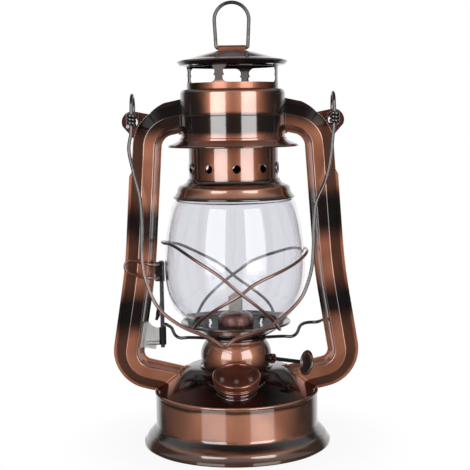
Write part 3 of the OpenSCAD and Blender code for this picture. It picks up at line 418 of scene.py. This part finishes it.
# %% [markdown]
# ## Three ways to make a piece
# Nearly all of the lantern is either spun, drawn or pressed, and each has its way here. A spun piece
# is an outline that the Spin operator turns once round the axis. A drawn wire is a curve with a round
# bevel. A pressed tube is a ring of points, extruded along straight runs and spun round bends.

# %% Shared makers
def finish_piece(piece, name, material, body, smooth=35):
    piece.name = name
    piece.data.name = name
    piece.data.materials.clear()
    piece.data.materials.append(material)
    deselect()
    bpy.context.view_layer.objects.active = piece
    piece.select_set(True)
    bpy.ops.object.shade_smooth_by_angle(angle=math.radians(smooth))
    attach(piece, body)
    return piece


def ring_of(points):
    """A circle primitive whose points are moved to an outline's points, given in mm."""
    deselect()
    bpy.ops.mesh.primitive_circle_add(vertices=len(points), radius=0.01)
    piece = bpy.context.object
    for vertex, place in zip(piece.data.vertices, points):
        vertex.co = mm(*place)
    return piece


def tidy_mesh(piece):
    edit(piece)
    bpy.ops.mesh.select_all(action="SELECT")
    bpy.ops.mesh.remove_doubles(threshold=0.000002)
    bpy.ops.mesh.normals_make_consistent(inside=False)
    leave()


def spun(outline, steps=128):
    """Turns a closed outline of (radius, height) points once round the lantern's axis."""
    piece = ring_of([(r, 0, z) for r, z in outline])
    edit(piece)
    bpy.ops.mesh.select_all(action="SELECT")
    bpy.ops.mesh.spin(steps=steps, angle=2 * PI, center=(0, 0, 0), axis=(0, 0, 1))
    leave()
    tidy_mesh(piece)
    return piece


def use_modifier(piece, name):
    deselect()
    bpy.context.view_layer.objects.active = piece
    piece.select_set(True)
    bpy.ops.object.modifier_apply(modifier=name)


def cut(piece, tool, operation="DIFFERENCE"):
    boolean = piece.modifiers.new("cut", "BOOLEAN")
    boolean.operation = operation
    boolean.object = tool
    boolean.solver = "EXACT"
    use_modifier(piece, "cut")


def wire(points, thickness, closed=False, sides=6):
    """A round wire along points in mm, made as a bevelled curve and turned to a mesh."""
    deselect()
    bpy.ops.curve.primitive_bezier_curve_add(location=(0, 0, 0))
    drawn = bpy.context.object
    drawn.data.splines.clear()
    line = drawn.data.splines.new("POLY")
    line.points.add(len(points) - 1)
    for point, place in zip(line.points, points):
        point.co = (*mm(*place), 1.0)
    line.use_cyclic_u = closed
    drawn.data.dimensions = "3D"
    drawn.data.twist_mode = "MINIMUM"
    drawn.data.bevel_depth = thickness / 2 * MM
    drawn.data.bevel_resolution = sides
    drawn.data.use_fill_caps = not closed
    bpy.ops.object.convert(target="MESH")
    piece = bpy.context.object
    tidy_mesh(piece)
    return piece


def join(first, *others):
    deselect()
    for other in others:
        other.select_set(True)
    first.select_set(True)
    bpy.context.view_layer.objects.active = first
    bpy.ops.object.join()
    return first


def curve_through(points, steps):
    """A smooth curve through points, with `steps` steps between neighbours."""
    rows = [Vector(p) for p in points]
    found = []
    for i in range(len(rows) - 1):
        a, b = rows[max(i - 1, 0)], rows[i]
        c, d = rows[i + 1], rows[min(i + 2, len(rows) - 1)]
        for k in range(steps):
            t = k / steps
            found.append(0.5 * (2 * b + (c - a) * t + (2 * a - 5 * b + 4 * c - d) * t * t
                                + (3 * b - a - 3 * c + d) * t ** 3))
    found.append(rows[-1])
    return found


print("makers ready: spun, wire, sweep")

# %% [markdown]
# ## The glass globe
# A globe like this is blown into a turned mould, so it is a true figure of revolution with soft
# curves. The outline below runs up the outside, over the rounded lip and down the inside, 1.5 mm
# further in. Spinning a closed outline gives a closed wall, which glass needs to bend light rightly.

# %% Glass globe
GLOBE_Z = 73.205
GLOBE_R = 42.8
FOOT_R = 28.6
THROAT_R = 32.9
GLASS = 1.5
GLOBE_H = 84.6

globe_line = curve_through([
    (FOOT_R, 0, 0), (FOOT_R + 2.1, 0, 3.4), (GLOBE_R - 5.7, 0, 10.66), (GLOBE_R - 1.9, 0, 19.46),
    (GLOBE_R - 0.2, 0, 28.7), (GLOBE_R, 0, 40.7), (GLOBE_R - 1.1, 0, 53.55), (GLOBE_R - 3, 0, 65.5),
    (GLOBE_R - 5.7, 0, 75.5), (THROAT_R + 0.8, 0, GLOBE_H - 5.4), (THROAT_R, 0, GLOBE_H - 3),
    (THROAT_R, 0, GLOBE_H),
], 7)


def walled(line, thickness, lift=0.0):
    """Adds the inner face to an outer line that climbs, and rounds both lips."""
    outer = [Vector((p[0], p[2] + lift)) for p in line]
    inner = []
    for i, p in enumerate(outer):
        ahead = outer[min(i + 1, len(outer) - 1)] - outer[max(i - 1, 0)]
        ahead.normalize()
        inner.append(p + Vector((-ahead.y, ahead.x)) * thickness)
    top, foot = (outer[-1] + inner[-1]) / 2, (outer[0] + inner[0]) / 2
    shrink = 0.3 * thickness
    outer[-1].y -= shrink
    inner[-1].y -= shrink
    outer[0].y += shrink
    inner[0].y += shrink
    return outer + [top] + inner[::-1] + [foot]


globe = spun([tuple(p) for p in walled(globe_line, GLASS, GLOBE_Z)], steps=160)
finish_piece(globe, "glass_globe", globe_glass, "globe_carrier", smooth=60)
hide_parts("globe")
print("globe faces:", len(globe.data.polygons))

# %% [markdown]
# ## The guard wires
# Two hard-drawn wires hold the globe on its plate. Each climbs one side of the glass, runs round it
# and comes down the other side, so the two cross in front and behind. A wire is written as rows of
# radius, angle from its corner and height, because it follows a round body.

# %% Guard wires
GUARD_WIRE = 1.9
GUARD_R = GLOBE_R + GUARD_WIRE / 2 + 0.5
PLATE_R = 33.4
GUARD_FOOT = 139
PLATE_RIM_Z = 75.0

# Painted shade: a band across y darkens the back half of both guard wires, and a band across x darkens the left side
# of the left wire.
guard_left_finish = lacquered_copper("lacquered_copper_guard_left", [(X, -60, -27, 5, 0.9), (Y, 8, 60, 6, 0.8)],
                                     light=WIRE_LIGHT, deep=WIRE_DEEP)
guard_right_finish = lacquered_copper("lacquered_copper_guard_right", [(Y, 8, 60, 6, 0.8)],
                                      light=WIRE_LIGHT, deep=WIRE_DEEP)


def guard(side, corner, lap, legs, skew):
    """`legs` gives angles from the corner with heights as shares of the globe's; `skew` lifts the front."""
    halves = []
    for lift in (skew, -skew):
        halves.append([
            (PLATE_R + 0.85 + GUARD_WIRE / 2, GUARD_FOOT, -1.2),
            (PLATE_R + 0.95 + GUARD_WIRE / 2, GUARD_FOOT - 4, 0.6),
            (GUARD_R + lap - 4.6, legs[3][0], legs[3][1] * GLOBE_H + lift / 3),
            (GUARD_R + lap, legs[2][0], legs[2][1] * GLOBE_H + lift),
            (GUARD_R + lap, legs[1][0], legs[1][1] * GLOBE_H + lift),
            (GUARD_R + lap / 3, legs[0][0], legs[0][1] * GLOBE_H + lift),
            (GUARD_R, 14, corner * GLOBE_H - 0.5 + lift / 3),
        ])
    turns = [(r, -a, z) for r, a, z in halves[0]] + [(GUARD_R + 0.2, 0, corner * GLOBE_H)] + halves[1][::-1]
    around = [(side * r * math.cos(math.radians(a)), r * math.sin(math.radians(a)), PLATE_RIM_Z + z)
              for r, a, z in curve_through(turns, 9)]
    return wire(around, GUARD_WIRE)


guard_left = guard(-1, 0.592, GUARD_WIRE + 0.3, [(40, 0.558), (74, 0.409), (94, 0.255), (119, 0.089)], 2.6)
finish_piece(guard_left, "guard_left", guard_left_finish, "globe_carrier")
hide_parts("guard_wire_left")
guard_right = guard(1, 0.518, 0, [(38, 0.475), (72, 0.376), (88, 0.28), (116, 0.12)], -1.5)
finish_piece(guard_right, "guard_right", guard_right_finish, "globe_carrier")
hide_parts("guard_wire_right")
print("guard wires:", GUARD_WIRE, "mm thick")

# %% [markdown]
# ## The lift wire and its finger grip
# One black wire carries the globe plate. It starts at the lift rod beside the left tube, passes in
# front of the burner under the plate and rests behind the right tube. Pushing the small copper loop
# down or up with a finger raises the globe for lighting.

# %% Lift wire and finger grip
LIFT_WIRE = 2.0
ROD_X = 45.2
ROD_D = 2.6
ARM_RING_R = 21.2
ARM_RING_Z = 66.6
ARM_Z = 73.8

arm = [
    (29, 2, ARM_RING_Z - 0.9), (34.4, 0.4, ARM_RING_Z - 1.4), (37.6, 0, ARM_RING_Z + 0.5),
    (39.6, 0, (ARM_RING_Z + ARM_Z) / 2 + 1.2), (41.8, 0, ARM_Z - 0.7),
]
YOKE_END = 24
yoke = []
for step in range(10):
    turn = math.radians(180 + YOKE_END + (180 - 2 * YOKE_END) * step / 9)
    yoke.append((ARM_RING_R * math.cos(turn), ARM_RING_R * math.sin(turn), ARM_RING_Z))
lift_points = (
    [(0.1 - ROD_X + ROD_D / 2, 0, ARM_Z), (1 - ROD_X + ROD_D / 2, 0, ARM_Z)]
    + [(-x, -y, z) for x, y, z in arm[::-1]] + yoke + [(x, -y, z) for x, y, z in arm]
    + [(45.05, 0, ARM_Z), (49.45, 0.5, ARM_Z), (51.95, 3.4, ARM_Z), (53.85, 7, ARM_Z),
       (57.45, 10.2, ARM_Z), (62.05, 10.6, ARM_Z)]
)
lift = wire(curve_through(lift_points, 5), LIFT_WIRE)
finish_piece(lift, "lift_yoke_wire", enamel, "globe_carrier")
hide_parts("lift_wire")

GRIP_WIRE = 1.8
GRIP_LOW = 103.1
GRIP_HIGH = 111.5
GRIP_X = -46.8
GRIP_START_Y = -2.9
GRIP_Y = -10.4
grip_points = [
    (GRIP_X, GRIP_START_Y, GRIP_LOW), (GRIP_X - 2, GRIP_START_Y - 2.6, GRIP_LOW + 0.2),
    (-ROD_X - 6, GRIP_Y + 0.6, GRIP_LOW + 1), (-57, GRIP_Y - 0.4, GRIP_LOW + 2.2),
    (-63, GRIP_Y - 0.6, GRIP_LOW + 4), (-66.2, GRIP_Y - 0.6, GRIP_LOW + 6.6),
    (-66, GRIP_Y - 0.6, GRIP_HIGH + 2), (-62.6, GRIP_Y - 0.5, GRIP_HIGH + 3.6),
    (-58, GRIP_Y - 0.4, GRIP_HIGH + 2.6), (-ROD_X - 6, GRIP_Y + 0.6, GRIP_HIGH + 0.8),
    (GRIP_X - 2, GRIP_START_Y - 2.6, GRIP_HIGH), (GRIP_X, GRIP_START_Y, GRIP_HIGH),
]
grip = wire(curve_through(grip_points, 7), GRIP_WIRE)
finish_piece(grip, "finger_grip", wire_copper, "globe_carrier")
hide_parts("lift_grip")
print("lift wire points:", len(lift_points), "grip points:", len(grip_points))

# %% [markdown]
# ## The bail
# The large handle is one soft-drawn wire. Each end makes a round eye through an ear of the frame and
# is then wound three times round its own shank, which is how such a handle is closed without a
# weld. The flat bail is drawn first in its own plane and then leaned forward round the eyes.

# %% Bail with wound ends
BAIL_WIRE = 2.1
EYE_R = 8.1
EYE_Z = 206.305
EAR_X = 60.788
LEAN = math.radians(-14)
WRAP_TURNS = 3.5
WRAP_FROM = 5.2
WRAP_TO = 13.0

# The spray leaves the lower part of the bail in copper, further down on the left than on the right
bail_finish = lacquered_copper("smoked_copper_bail", [((0.24, 0, 1, 0), 105, 400, 8, 0.95)],
                               light=WIRE_LIGHT, deep=WIRE_DEEP)
bail_line = curve_through([(x, q, 0) for x, q in (
    (-EAR_X, -1), (-EAR_X, 9), (-60.9, 16.8), (-62.2, 27.1), (-59.5, 40.5), (-55.6, 57.2),
    (-54.6, 73), (-54.7, 87.8), (-52.8, 103.5), (-45.3, 121), (-32.1, 132.1), (-17.3, 138.6),
    (-12, 141.6), (-8.4, 144.1), (-6.4, 144.7), (-4.4, 143.7), (-0.5, 140.6), (10, 137.2),
    (21, 132.3), (30.9, 124.8), (39.3, 115.4), (44.6, 101.2), (46.3, 86.8), (46.9, 72.8),
    (48.8, 59.6), (54.1, 47.9), (57.6, 34.7), (59.4, 21.1), (EAR_X, 9), (EAR_X, -1),
)], 6)


def hung(x, q, out=0.0):
    """A point of the bail: across, down from the hinge and out of its plane."""
    return (x, q * math.sin(LEAN) + out * math.cos(LEAN), EYE_Z - q * math.cos(LEAN) + out * math.sin(LEAN))


def shank_x(q, side):
    near = [p for p in bail_line if p[0] * side > 0 and p[1] < 40]
    near.sort(key=lambda p: abs(p[1] - q))
    return near[0][0]


bail_parts = [wire([hung(p[0], p[1], -EYE_R) for p in bail_line], BAIL_WIRE)]
for side in (-1, 1):
    eye = [(side * EAR_X, EYE_R * math.sin(a), EYE_Z + EYE_R * math.cos(a))
           for a in [2 * PI * k / 48 for k in range(48)]]
    bail_parts.append(wire(eye, BAIL_WIRE, closed=True))
    winding = []
    for k in range(85):
        part = k / 84
        turn = 2 * PI * WRAP_TURNS * part
        q = WRAP_FROM + (WRAP_TO - WRAP_FROM) * part
        across = BAIL_WIRE * math.cos(turn)
        winding.append(hung(shank_x(q, side) + across, q, BAIL_WIRE * math.sin(turn) - EYE_R))
    bail_parts.append(wire(winding, BAIL_WIRE))
bail = join(*bail_parts)
finish_piece(bail, "bail_wire", bail_finish, "handle")
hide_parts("bail")
print("bail faces:", len(bail.data.polygons))

# %% [markdown]
# ## The top loop
# The small loop on the cap is bent from one wire too: a straight hinge leg inside the strap, a tight
# corner, a leaning side and a wide round top. The same moves, a run or a bend with its radius and
# angle, describe it and the side tubes.

# %% A path made of runs and bends
def track(start, heading, moves, fine=6.0):
    """Points of a flat path. A move is (length,) or (radius, degrees), and a bend > 0 goes left."""
    place = Vector(start)
    angle = math.radians(heading)
    found = [place.copy()]
    for move in moves:
        if len(move) == 1:
            place = place + move[0] * Vector((math.cos(angle), math.sin(angle)))
            found.append(place.copy())
            continue
        radius, turn = move[0], math.radians(move[1])
        side = 1 if turn > 0 else -1
        centre = place + side * radius * Vector((-math.sin(angle), math.cos(angle)))
        steps = max(2, math.ceil(abs(move[1]) / fine))
        for k in range(1, steps + 1):
            now = angle + turn * k / steps
            found.append(centre - side * radius * Vector((-math.sin(now), math.cos(now))))
        place, angle = found[-1], angle + turn
    return found


HINGE_Z = 241.855
LOOP_WIRE = 2.2
STRAP_HALF = 8.2
LOOP_H = 27.15
LOOP_ARC = 10.4
LOOP_CORNER = 1.6
leg = STRAP_HALF - 0.2
span = Vector((-leg, LOOP_H - LOOP_ARC - LOOP_CORNER))
swell = LOOP_ARC - LOOP_CORNER
head = math.degrees(math.atan2(span.y, span.x) - math.asin(swell / span.length))
side_length = math.sqrt(span.length ** 2 - swell ** 2)
loop_line = track((leg, 0), 0, [
    (LOOP_CORNER, head), (side_length,), (LOOP_ARC, 2 * (180 - head)), (side_length,), (LOOP_CORNER, head),
])
loop = wire([(p.x, 0, HINGE_Z + p.y) for p in loop_line[:-1]] + [(-leg, 0, HINGE_Z)], LOOP_WIRE, closed=True)
finish_piece(loop, "carrying_loop_wire", loop_steel, "carrying_loop")
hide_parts("top_loop")
print("loop points:", len(loop_line))

# %% [markdown]
# ## The side tubes
# Each air tube is pressed in two halves and folded together at its seams, so it has a six-sided
# section with a narrow fin inside and outside. The section is a ring of points with rounded corners.
# It is extruded along the straight runs and spun round the bends, exactly as the route is described,
# and at the end the hood and the dome of the tank are cut away from it.

# %% Section of a side tube
TUBE_HALF = 7.8
TUBE_DEEP = 8.2
FIN = 1.7
FIN_REST = 0.3
FIN_TOP = 2.6
FIN_T = 0.8


def rounded(corners):
    """Points of an open outline. A corner is (x, y, radius), and radius 0 keeps it sharp."""
    found = []
    for i, (x, y, radius) in enumerate(corners):
        corner = Vector((x, y))
        if radius == 0:
            found.append((x, y))
            continue
        back = (Vector(corners[i - 1][:2]) - corner).normalized()
        on = (Vector(corners[i + 1][:2]) - corner).normalized()
        half = math.acos(max(-1, min(1, back.dot(on)))) / 2
        reach = radius / math.tan(half)
        centre = corner + (back + on).normalized() * radius / math.sin(half)
        start, end = corner + back * reach - centre, corner + on * reach - centre
        turn = start.angle_signed(end)
        for k in range(5):
            a = -turn * k / 4
            found.append(tuple(centre + Vector((start.x * math.cos(a) - start.y * math.sin(a),
                                                start.x * math.sin(a) + start.y * math.cos(a)))))
    return found


def tube_section(outer_fin, grow=0.0):
    half, deep = TUBE_HALF + grow, TUBE_DEEP + grow
    edge = FIN_T + grow
    front = rounded([
        (half + outer_fin - 0.25, 0, 0), (half + outer_fin, -0.15, 0), (half + outer_fin, -edge, 0.2),
        (half, -edge, 0.12), (1.2 + 0.3 * grow, -deep, 1.3), (-5.8 - 0.3 * grow, -deep, 1.3),
        (-half, -edge, 0.4), (-half - FIN, -edge, 0.2), (-half - FIN, -0.15, 0), (-half - FIN + 0.25, 0, 0),
    ])
    back = [(u, -y) for u, y in front[1:-1]]
    return front + back[::-1]


section = tube_section(FIN_TOP)
print("points in the section:", len(section))

# %% Sweep a section along runs and bends
def sweep(outline, start, heading, moves, fine=4.0):
    """Moves are (length,), (radius, degrees) or (length, widen, by): the last widens the outer fin."""
    place = Vector((start[0], 0, start[1]))
    angle = math.radians(heading)

    def across():
        return Vector((-math.sin(angle), 0, math.cos(angle)))

    def along():
        return Vector((math.cos(angle), 0, math.sin(angle)))

    piece = ring_of([(place.x + u * across().x, y, place.z + u * across().z) for u, y in outline])
    edit(piece)
    bpy.ops.mesh.select_all(action="SELECT")
    for move in moves:
        if len(move) != 2:
            step = along() * move[0]
            bpy.ops.mesh.extrude_region_move(TRANSFORM_OT_translate={"value": tuple(step * MM)})
            place = place + step
            if len(move) == 3:
                leave()
                for vertex in piece.data.vertices:
                    out = (vertex.co / MM - place).dot(across())
                    if vertex.select and out > move[1]:
                        vertex.co += across() * move[2] * MM
                bpy.ops.object.mode_set(mode="EDIT")
            continue
        radius, turn = move[0], math.radians(move[1])
        side = 1 if turn > 0 else -1
        centre = place + side * radius * across()
        bpy.ops.mesh.spin(steps=max(1, math.ceil(abs(move[1]) / fine)), angle=abs(turn),
                          center=tuple(centre * MM), axis=(0, side, 0))
        angle += turn
        place = centre - side * radius * across()
    bpy.ops.mesh.select_all(action="SELECT")
    bpy.ops.mesh.remove_doubles(threshold=0.000002)
    bpy.ops.mesh.fill_holes(sides=0)
    bpy.ops.mesh.normals_make_consistent(inside=False)
    leave()
    return piece, place, angle


HOOD_R = 31.7
TUBE_START = (HOOD_R - 2.7, 201.605)
TUBE_DIP = 12
UPPER_BEND = 17.2
LOWER_BEND = 14.6
LEG_SLOPE = 3.8
FOOT_SLOPE = 9.2
FOOT_DIP = 13.7
LEG_CLEAR = 10.15
TRIMMED = 16
BOW_LOW, BOW_HIGH = 35.2, 64.2
BEND_FOOT_Z = 59.8
FOOT_RUN = 25.4
BOW_STEP = (FOOT_SLOPE - LEG_SLOPE) / 3
FIN_TURN = 24


def sine(degrees):
    return math.sin(math.radians(degrees))


def cosine(degrees):
    return math.cos(math.radians(degrees))


tube_out = (GLOBE_R + LEG_CLEAR - TUBE_START[0] - UPPER_BEND * (cosine(LEG_SLOPE) - sine(TUBE_DIP))) / cosine(TUBE_DIP)
leave_z = TUBE_START[1] - tube_out * sine(TUBE_DIP) - UPPER_BEND * (cosine(TUBE_DIP) - sine(LEG_SLOPE))
upper_leg = (leave_z - BEND_FOOT_Z - BOW_HIGH) / cosine(LEG_SLOPE)
bow_r = (BOW_HIGH - BOW_LOW) / (sine(FOOT_SLOPE) - sine(LEG_SLOPE))
tube_moves = [
    (tube_out - 0.02,), (UPPER_BEND, -FIN_TURN), (0.02, TUBE_HALF + 0.02, FIN_REST - FIN_TOP),
    (UPPER_BEND, TUBE_DIP + LEG_SLOPE - 90 + FIN_TURN), (TRIMMED,), (3, TUBE_HALF + 0.02, FIN - FIN_REST),
    (upper_leg - TRIMMED - 3,), (bow_r, BOW_STEP), (bow_r, BOW_STEP), (bow_r, BOW_STEP),
    (BOW_LOW / cosine(FOOT_SLOPE),), (LOWER_BEND, FOOT_DIP - FOOT_SLOPE - 90), (FOOT_RUN,),
]

SHELF_R = 29.8
SHELF_Z = 47.3
RIM_Z = 32.2
DOME_R = 48.75
BEAD_R = 50.65
BEAD_Z = 33.15


def dome_line(lift):
    """The dome from its rim to its shelf, 1.2 mm fuller than a cone."""
    a, b = Vector((DOME_R, RIM_Z + 0.4)), Vector((SHELF_R, SHELF_Z))
    out = Vector((b.y - a.y, a.x - b.x)).normalized()
    line = []
    for k in range(9):
        t = k / 8
        line.append(tuple(a + (b - a) * t + out * (1.2 * 4 * t * (1 - t) + lift)))
    return line


def tank_block():
    """The room that the dome and the bead round it take."""
    rim = [(0.01, RIM_Z - 20), (BEAD_R, RIM_Z - 20), (BEAD_R, BEAD_Z), (DOME_R, BEAD_Z)]
    return spun(rim + dome_line(0.0) + [(0.01, SHELF_Z)], steps=96)


def dome_skin(lift):
    """The dome alone, `lift` mm fuller, which gives a collar its thickness."""
    line = [p for p in dome_line(lift) if p[0] < DOME_R]
    return spun([(0.01, RIM_Z - 20), (DOME_R, RIM_Z - 20), (DOME_R, line[0][1])] + line
                + [(0.01, SHELF_Z + lift)], steps=96)


def hood_block(radius):
    deselect()
    bpy.ops.mesh.primitive_cylinder_add(vertices=128, radius=radius * MM, depth=0.06, location=mm(0, 0, 200))
    bpy.ops.object.transform_apply(location=True, rotation=False, scale=False)
    return bpy.context.object


def thrown_away(*tools):
    for tool in tools:
        bpy.data.objects.remove(tool)


def taper_fin(tube):
    """Trims the outer fin little by little over the first part of the upper bend."""
    along = Vector((cosine(TUBE_DIP), 0, -sine(TUBE_DIP)))
    across = Vector((sine(TUBE_DIP), 0, cosine(TUBE_DIP)))
    centre = Vector((TUBE_START[0], 0, TUBE_START[1])) + along * (tube_out - 0.02) - across * UPPER_BEND
    for vertex in tube.data.vertices:
        arm = vertex.co / MM - centre
        arm.y = 0
        turned = math.degrees(math.atan2(arm.dot(along), arm.dot(across)))
        if 0 < turned <= FIN_TURN + 0.01 and arm.length > UPPER_BEND + FIN_REST + TUBE_HALF + 0.1:
            vertex.co -= arm.normalized() * (FIN_TOP - FIN_REST) * turned / FIN_TURN * MM


def even_normals(piece):
    piece.modifiers.new("weigh_normals", "WEIGHTED_NORMAL").keep_sharp = True
    use_modifier(piece, "weigh_normals")


tube_zones = {
    -1: [(Z, 125, 144, 7, 0.95), (Z, 69, 93, 6.5, 0.98), (Z, 190, 260, 7, 0.96)],
    1: [(Z, 129, 158, 7, 0.98), (Z, 77.5, 99, 6.5, 0.98), (Z, 195, 260, 7, 0.96)],
}
for side, word in ((-1, "left"), (1, "right")):
    tube, place, angle = sweep(section, TUBE_START, -TUBE_DIP, tube_moves)
    taper_fin(tube)
    hood_tool, dome_tool = hood_block(HOOD_R + 0.05), tank_block()
    cut(tube, hood_tool)
    cut(tube, dome_tool)
    # A narrow collar is soldered round each end of the tube
    top_collar, _, _ = sweep(tube_section(FIN_REST, 0.9), TUBE_START, -TUBE_DIP, [(8,)])
    collar_skin = hood_block(HOOD_R + 1.1)
    cut(top_collar, collar_skin, "INTERSECT")
    cut(top_collar, hood_tool)
    back = Vector((-math.cos(angle), 0, -math.sin(angle)))
    foot_start = place + back * FOOT_RUN
    foot_collar, _, _ = sweep(tube_section(FIN, 0.9), (foot_start.x, foot_start.z), math.degrees(angle), [(FOOT_RUN,)])
    foot_skin = dome_skin(1.3)
    cut(foot_collar, foot_skin, "INTERSECT")
    cut(foot_collar, dome_tool)
    thrown_away(hood_tool, dome_tool, collar_skin, foot_skin)
    tube = join(tube, top_collar, foot_collar)
    if side < 0:
        edit(tube)
        bpy.ops.mesh.select_all(action="SELECT")
        bpy.ops.transform.resize(value=(-1, 1, 1), center_override=(0, 0, 0))
        bpy.ops.mesh.normals_make_consistent(inside=False)
        leave()
    tube_finish = lacquered_copper("lacquered_copper_tube_" + word, tube_zones[side], gloss=2.0)
    finish_piece(tube, "air_tube_" + word, tube_finish, "frame", smooth=30)
    even_normals(tube)
    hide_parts("tube_%s_front" % word, "tube_%s_back" % word)
    print("air tube", word, "faces:", len(tube.data.polygons))

# %% [markdown]
# ## Light and floor
# The lantern stands on a pale floor between two tall, soft strip lamps. Glossy metal shows what is
# round it, so the lamps draw two long bands on every round part, and the dark sides of the studio
# draw the dark edges. Behind the lantern is a white backdrop, which the camera, grazing reflections
# and rays through the glass all see at a strength of one.

# %% World
world = bpy.data.worlds.new("studio")
bpy.context.scene.world = world
world.use_nodes = True
tree = world.node_tree
tree.nodes.clear()
rays = add(tree, "ShaderNodeLightPath")
looking = add(tree, "ShaderNodeTexCoord")["Generated"]
direction = add(tree, "ShaderNodeSeparateXYZ", {0: looking})
behind = add(tree, "ShaderNodeMapRange", {0: direction[1], 1: 0.6, 2: 0.85}, interpolation_type="SMOOTHSTEP")[0]
low = add(tree, "ShaderNodeMapRange", {0: direction[2], 1: 0.25, 2: 0.42, 3: 1.0, 4: 0.0},
          interpolation_type="SMOOTHSTEP")[0]
backdrop = add(tree, "ShaderNodeMath", {0: behind, 1: low}, operation="MULTIPLY")[0]
overhead = add(tree, "ShaderNodeMapRange", {0: direction[2], 1: 0.4, 2: 0.55, 4: 0.3},
               interpolation_type="SMOOTHSTEP")[0]
dark_top = add(tree, "ShaderNodeMapRange", {0: direction[2], 1: 0.72, 2: 0.93, 3: 1.0, 4: 0.12},
               interpolation_type="SMOOTHSTEP")[0]
ceiling = add(tree, "ShaderNodeMath", {0: overhead, 1: dark_top}, operation="MULTIPLY")[0]
brightest = add(tree, "ShaderNodeMath", {0: backdrop, 1: ceiling}, operation="MAXIMUM")[0]
mirrored = add(tree, "ShaderNodeMath", {0: brightest, 1: 0.04}, operation="MAXIMUM")[0]
studio = add(tree, "ShaderNodeBackground", {"Color": (1, 1, 1, 1), "Strength": mirrored})[0]
fill = add(tree, "ShaderNodeBackground", {"Color": (1, 1, 1, 1), "Strength": 0.8})[0]
white = add(tree, "ShaderNodeBackground", {"Color": (1, 1, 1, 1), "Strength": 1.0})[0]
room = add(tree, "ShaderNodeMixShader", {0: rays["Is Glossy Ray"], 1: fill, 2: studio})[0]
seen = add(tree, "ShaderNodeMath", {0: rays["Is Camera Ray"], 1: rays["Is Transmission Ray"]},
           operation="MAXIMUM")[0]
whole = add(tree, "ShaderNodeMixShader", {0: seen, 1: room, 2: white})[0]
add(tree, "ShaderNodeOutputWorld", {"Surface": whole})
print("world nodes:", len(tree.nodes))

# %% Floor
FLOOR_SIZE = 6.0
deselect()
bpy.ops.mesh.primitive_plane_add(size=FLOOR_SIZE, location=(0, 0, 0))
floor = bpy.context.object
floor.name = "floor"
floor_paint, tree, sockets, place = new_finish("matt_white_floor", {
    "Base Color": tint("#c8c8c8"), "Roughness": 0.6,
})
rays = add(tree, "ShaderNodeLightPath")
glow = add(tree, "ShaderNodeEmission", {"Color": (1, 1, 1, 1), "Strength": 1.0})[0]
away = add(tree, "ShaderNodeVectorMath", {0: place}, operation="LENGTH")["Value"]
clean = add(tree, "ShaderNodeMapRange", {0: away, 1: 58, 2: 120, 3: 0.9, 4: 1.0}, interpolation_type="SMOOTHSTEP")[0]
seen = add(tree, "ShaderNodeMath", {0: rays["Is Camera Ray"], 1: rays["Is Transmission Ray"]},
           operation="MAXIMUM")[0]
share = add(tree, "ShaderNodeMath", {0: clean, 1: seen}, operation="MULTIPLY")[0]
painted = tree.nodes["Principled BSDF"].outputs[0]
both = add(tree, "ShaderNodeMixShader", {0: share, 1: painted, 2: glow})[0]
tree.links.new(both, tree.nodes["Material Output"].inputs["Surface"])
floor.data.materials.append(floor_paint)
# The lamps reach below the table's edge, so the table is left out of the mirror images and of their light
floor.visible_glossy = False
floor.visible_shadow = False
print("floor", FLOOR_SIZE, "m wide")

# %% Strip lamps
LAMP_AWAY = 1.1
LAMP_WIDE = 0.66
# Each strip is bright above the table and dim below it: height of its middle, its length and its power
STRIP_PARTS = ((0.41, 0.9, 5.3), (-0.34, 0.6, 1.05))


def strip_lamp(name, degrees):
    """A lamp in two parts at an angle from the camera's side, which faces the lantern."""
    turn = math.radians(degrees)
    for height, length, watts in STRIP_PARTS:
        lamp = bpy.data.lights.new(name, "AREA")
        lamp.shape = "RECTANGLE"
        lamp.size, lamp.size_y = LAMP_WIDE, length
        lamp.energy = watts
        holder = bpy.data.objects.new(name, lamp)
        bpy.context.scene.collection.objects.link(holder)
        holder.matrix_world = (
            Matrix.Translation((LAMP_AWAY * math.sin(turn), -LAMP_AWAY * math.cos(turn), height))
            @ Matrix.Rotation(turn, 4, "Z") @ Matrix.Rotation(PI / 2, 4, "X")
        )
        holder.visible_camera = False


strip_lamp("strip_left", -32)
strip_lamp("strip_right", 35)
print("lamps:", len(bpy.data.lights))
